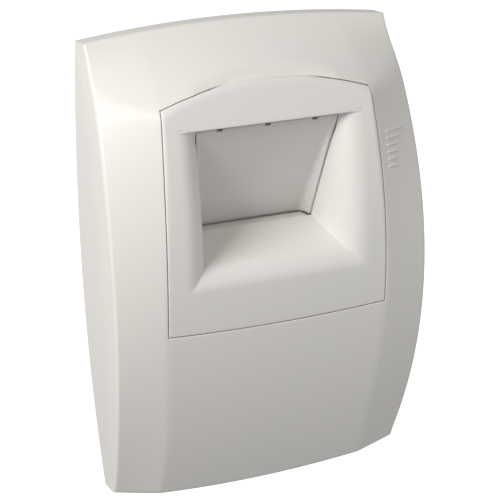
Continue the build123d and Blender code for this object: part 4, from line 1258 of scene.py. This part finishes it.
camera = bpy.data.objects.new("camera", bpy.data.cameras.new("camera"))
bpy.context.scene.collection.objects.link(camera)
look = LOOK.normalized()
up = RIGHT.cross(look).normalized()
right = look.cross(up).normalized()
turned = camera.matrix_world.to_3x3()
turned.col[0] = right
turned.col[1] = up
turned.col[2] = -look
camera.matrix_world = turned.to_4x4()
camera.location = CAMERA_PLACE
camera.data.lens = LENS
camera.data.sensor_width = 36.0
camera.data.clip_start = 0.01
bpy.context.scene.camera = camera
print("camera distance in m:", round(CAMERA_PLACE.length, 3))

# %% [markdown]
# ## Floor and light
# A pale floor lies well below, because the real object hangs on a wall. A broad soft box at
# the upper left is the key light, a weaker one fills from the right, and the pale world
# lifts the shadows. The world is dim as a light and white as a backdrop, and the floor lends
# no light of its own. The view transform is the plain one, so white stays white.

# %% Floor and light
FLOOR_DROP = 0.35
FLOOR_HALF = 30.0
WHITE_LIGHT = (1.0, 1.0, 1.0, 1.0)
ROOM_LIGHT = 0.38

floor_mesh = bpy.data.meshes.new("floor")
level = cad_bounds[0][2] - FLOOR_DROP
corners = [(x * FLOOR_HALF, y * FLOOR_HALF, level) for x, y in ((-1, -1), (1, -1), (1, 1), (-1, 1))]
floor_mesh.from_pydata(corners, [], [(0, 1, 2, 3)])
floor = bpy.data.objects.new("floor", floor_mesh)
bpy.context.scene.collection.objects.link(floor)
paper = Finish("pale_floor")
floor_mesh.materials.append(paper.surface(Base_Color=(0.9, 0.9, 0.9), Roughness=0.9,
                                          Emission_Color=WHITE_LIGHT, Emission_Strength=0.9))
floor.visible_diffuse = False
floor.visible_glossy = False


def soft_box(name, place, size, power):
    """A square area light that looks at the origin."""
    light = bpy.data.lights.new(name, "AREA")
    light.shape = "SQUARE"
    light.size = size
    light.energy = power
    lamp = bpy.data.objects.new(name, light)
    bpy.context.scene.collection.objects.link(lamp)
    lamp.location = place
    lamp.rotation_euler = (-Vector(place)).to_track_quat("-Z", "Y").to_euler()


soft_box("key", (-0.86, -0.45, 0.56), 0.5, 10.2)
soft_box("fill", (1.3, -1.6, 0.3), 1.5, 5.0)
world = bpy.data.worlds.new("pale_room")
world.use_nodes = True
room = world.node_tree
seen = room.nodes.new("ShaderNodeLightPath")
either = room.nodes.new("ShaderNodeMixShader")
room.links.new(seen.outputs["Is Camera Ray"], either.inputs[0])
sources = ((room.nodes["Background"], ROOM_LIGHT), (room.nodes.new("ShaderNodeBackground"), 1.0))
for place, (source, strength) in enumerate(sources, start=1):
    source.inputs["Color"].default_value = WHITE_LIGHT
    source.inputs["Strength"].default_value = strength
    room.links.new(source.outputs[0], either.inputs[place])
room.links.new(either.outputs[0], room.nodes["World Output"].inputs["Surface"])
bpy.context.scene.world = world
bpy.context.scene.view_settings.view_transform = "Standard"
print("floor level in m:", round(level, 3), "room light:", ROOM_LIGHT)
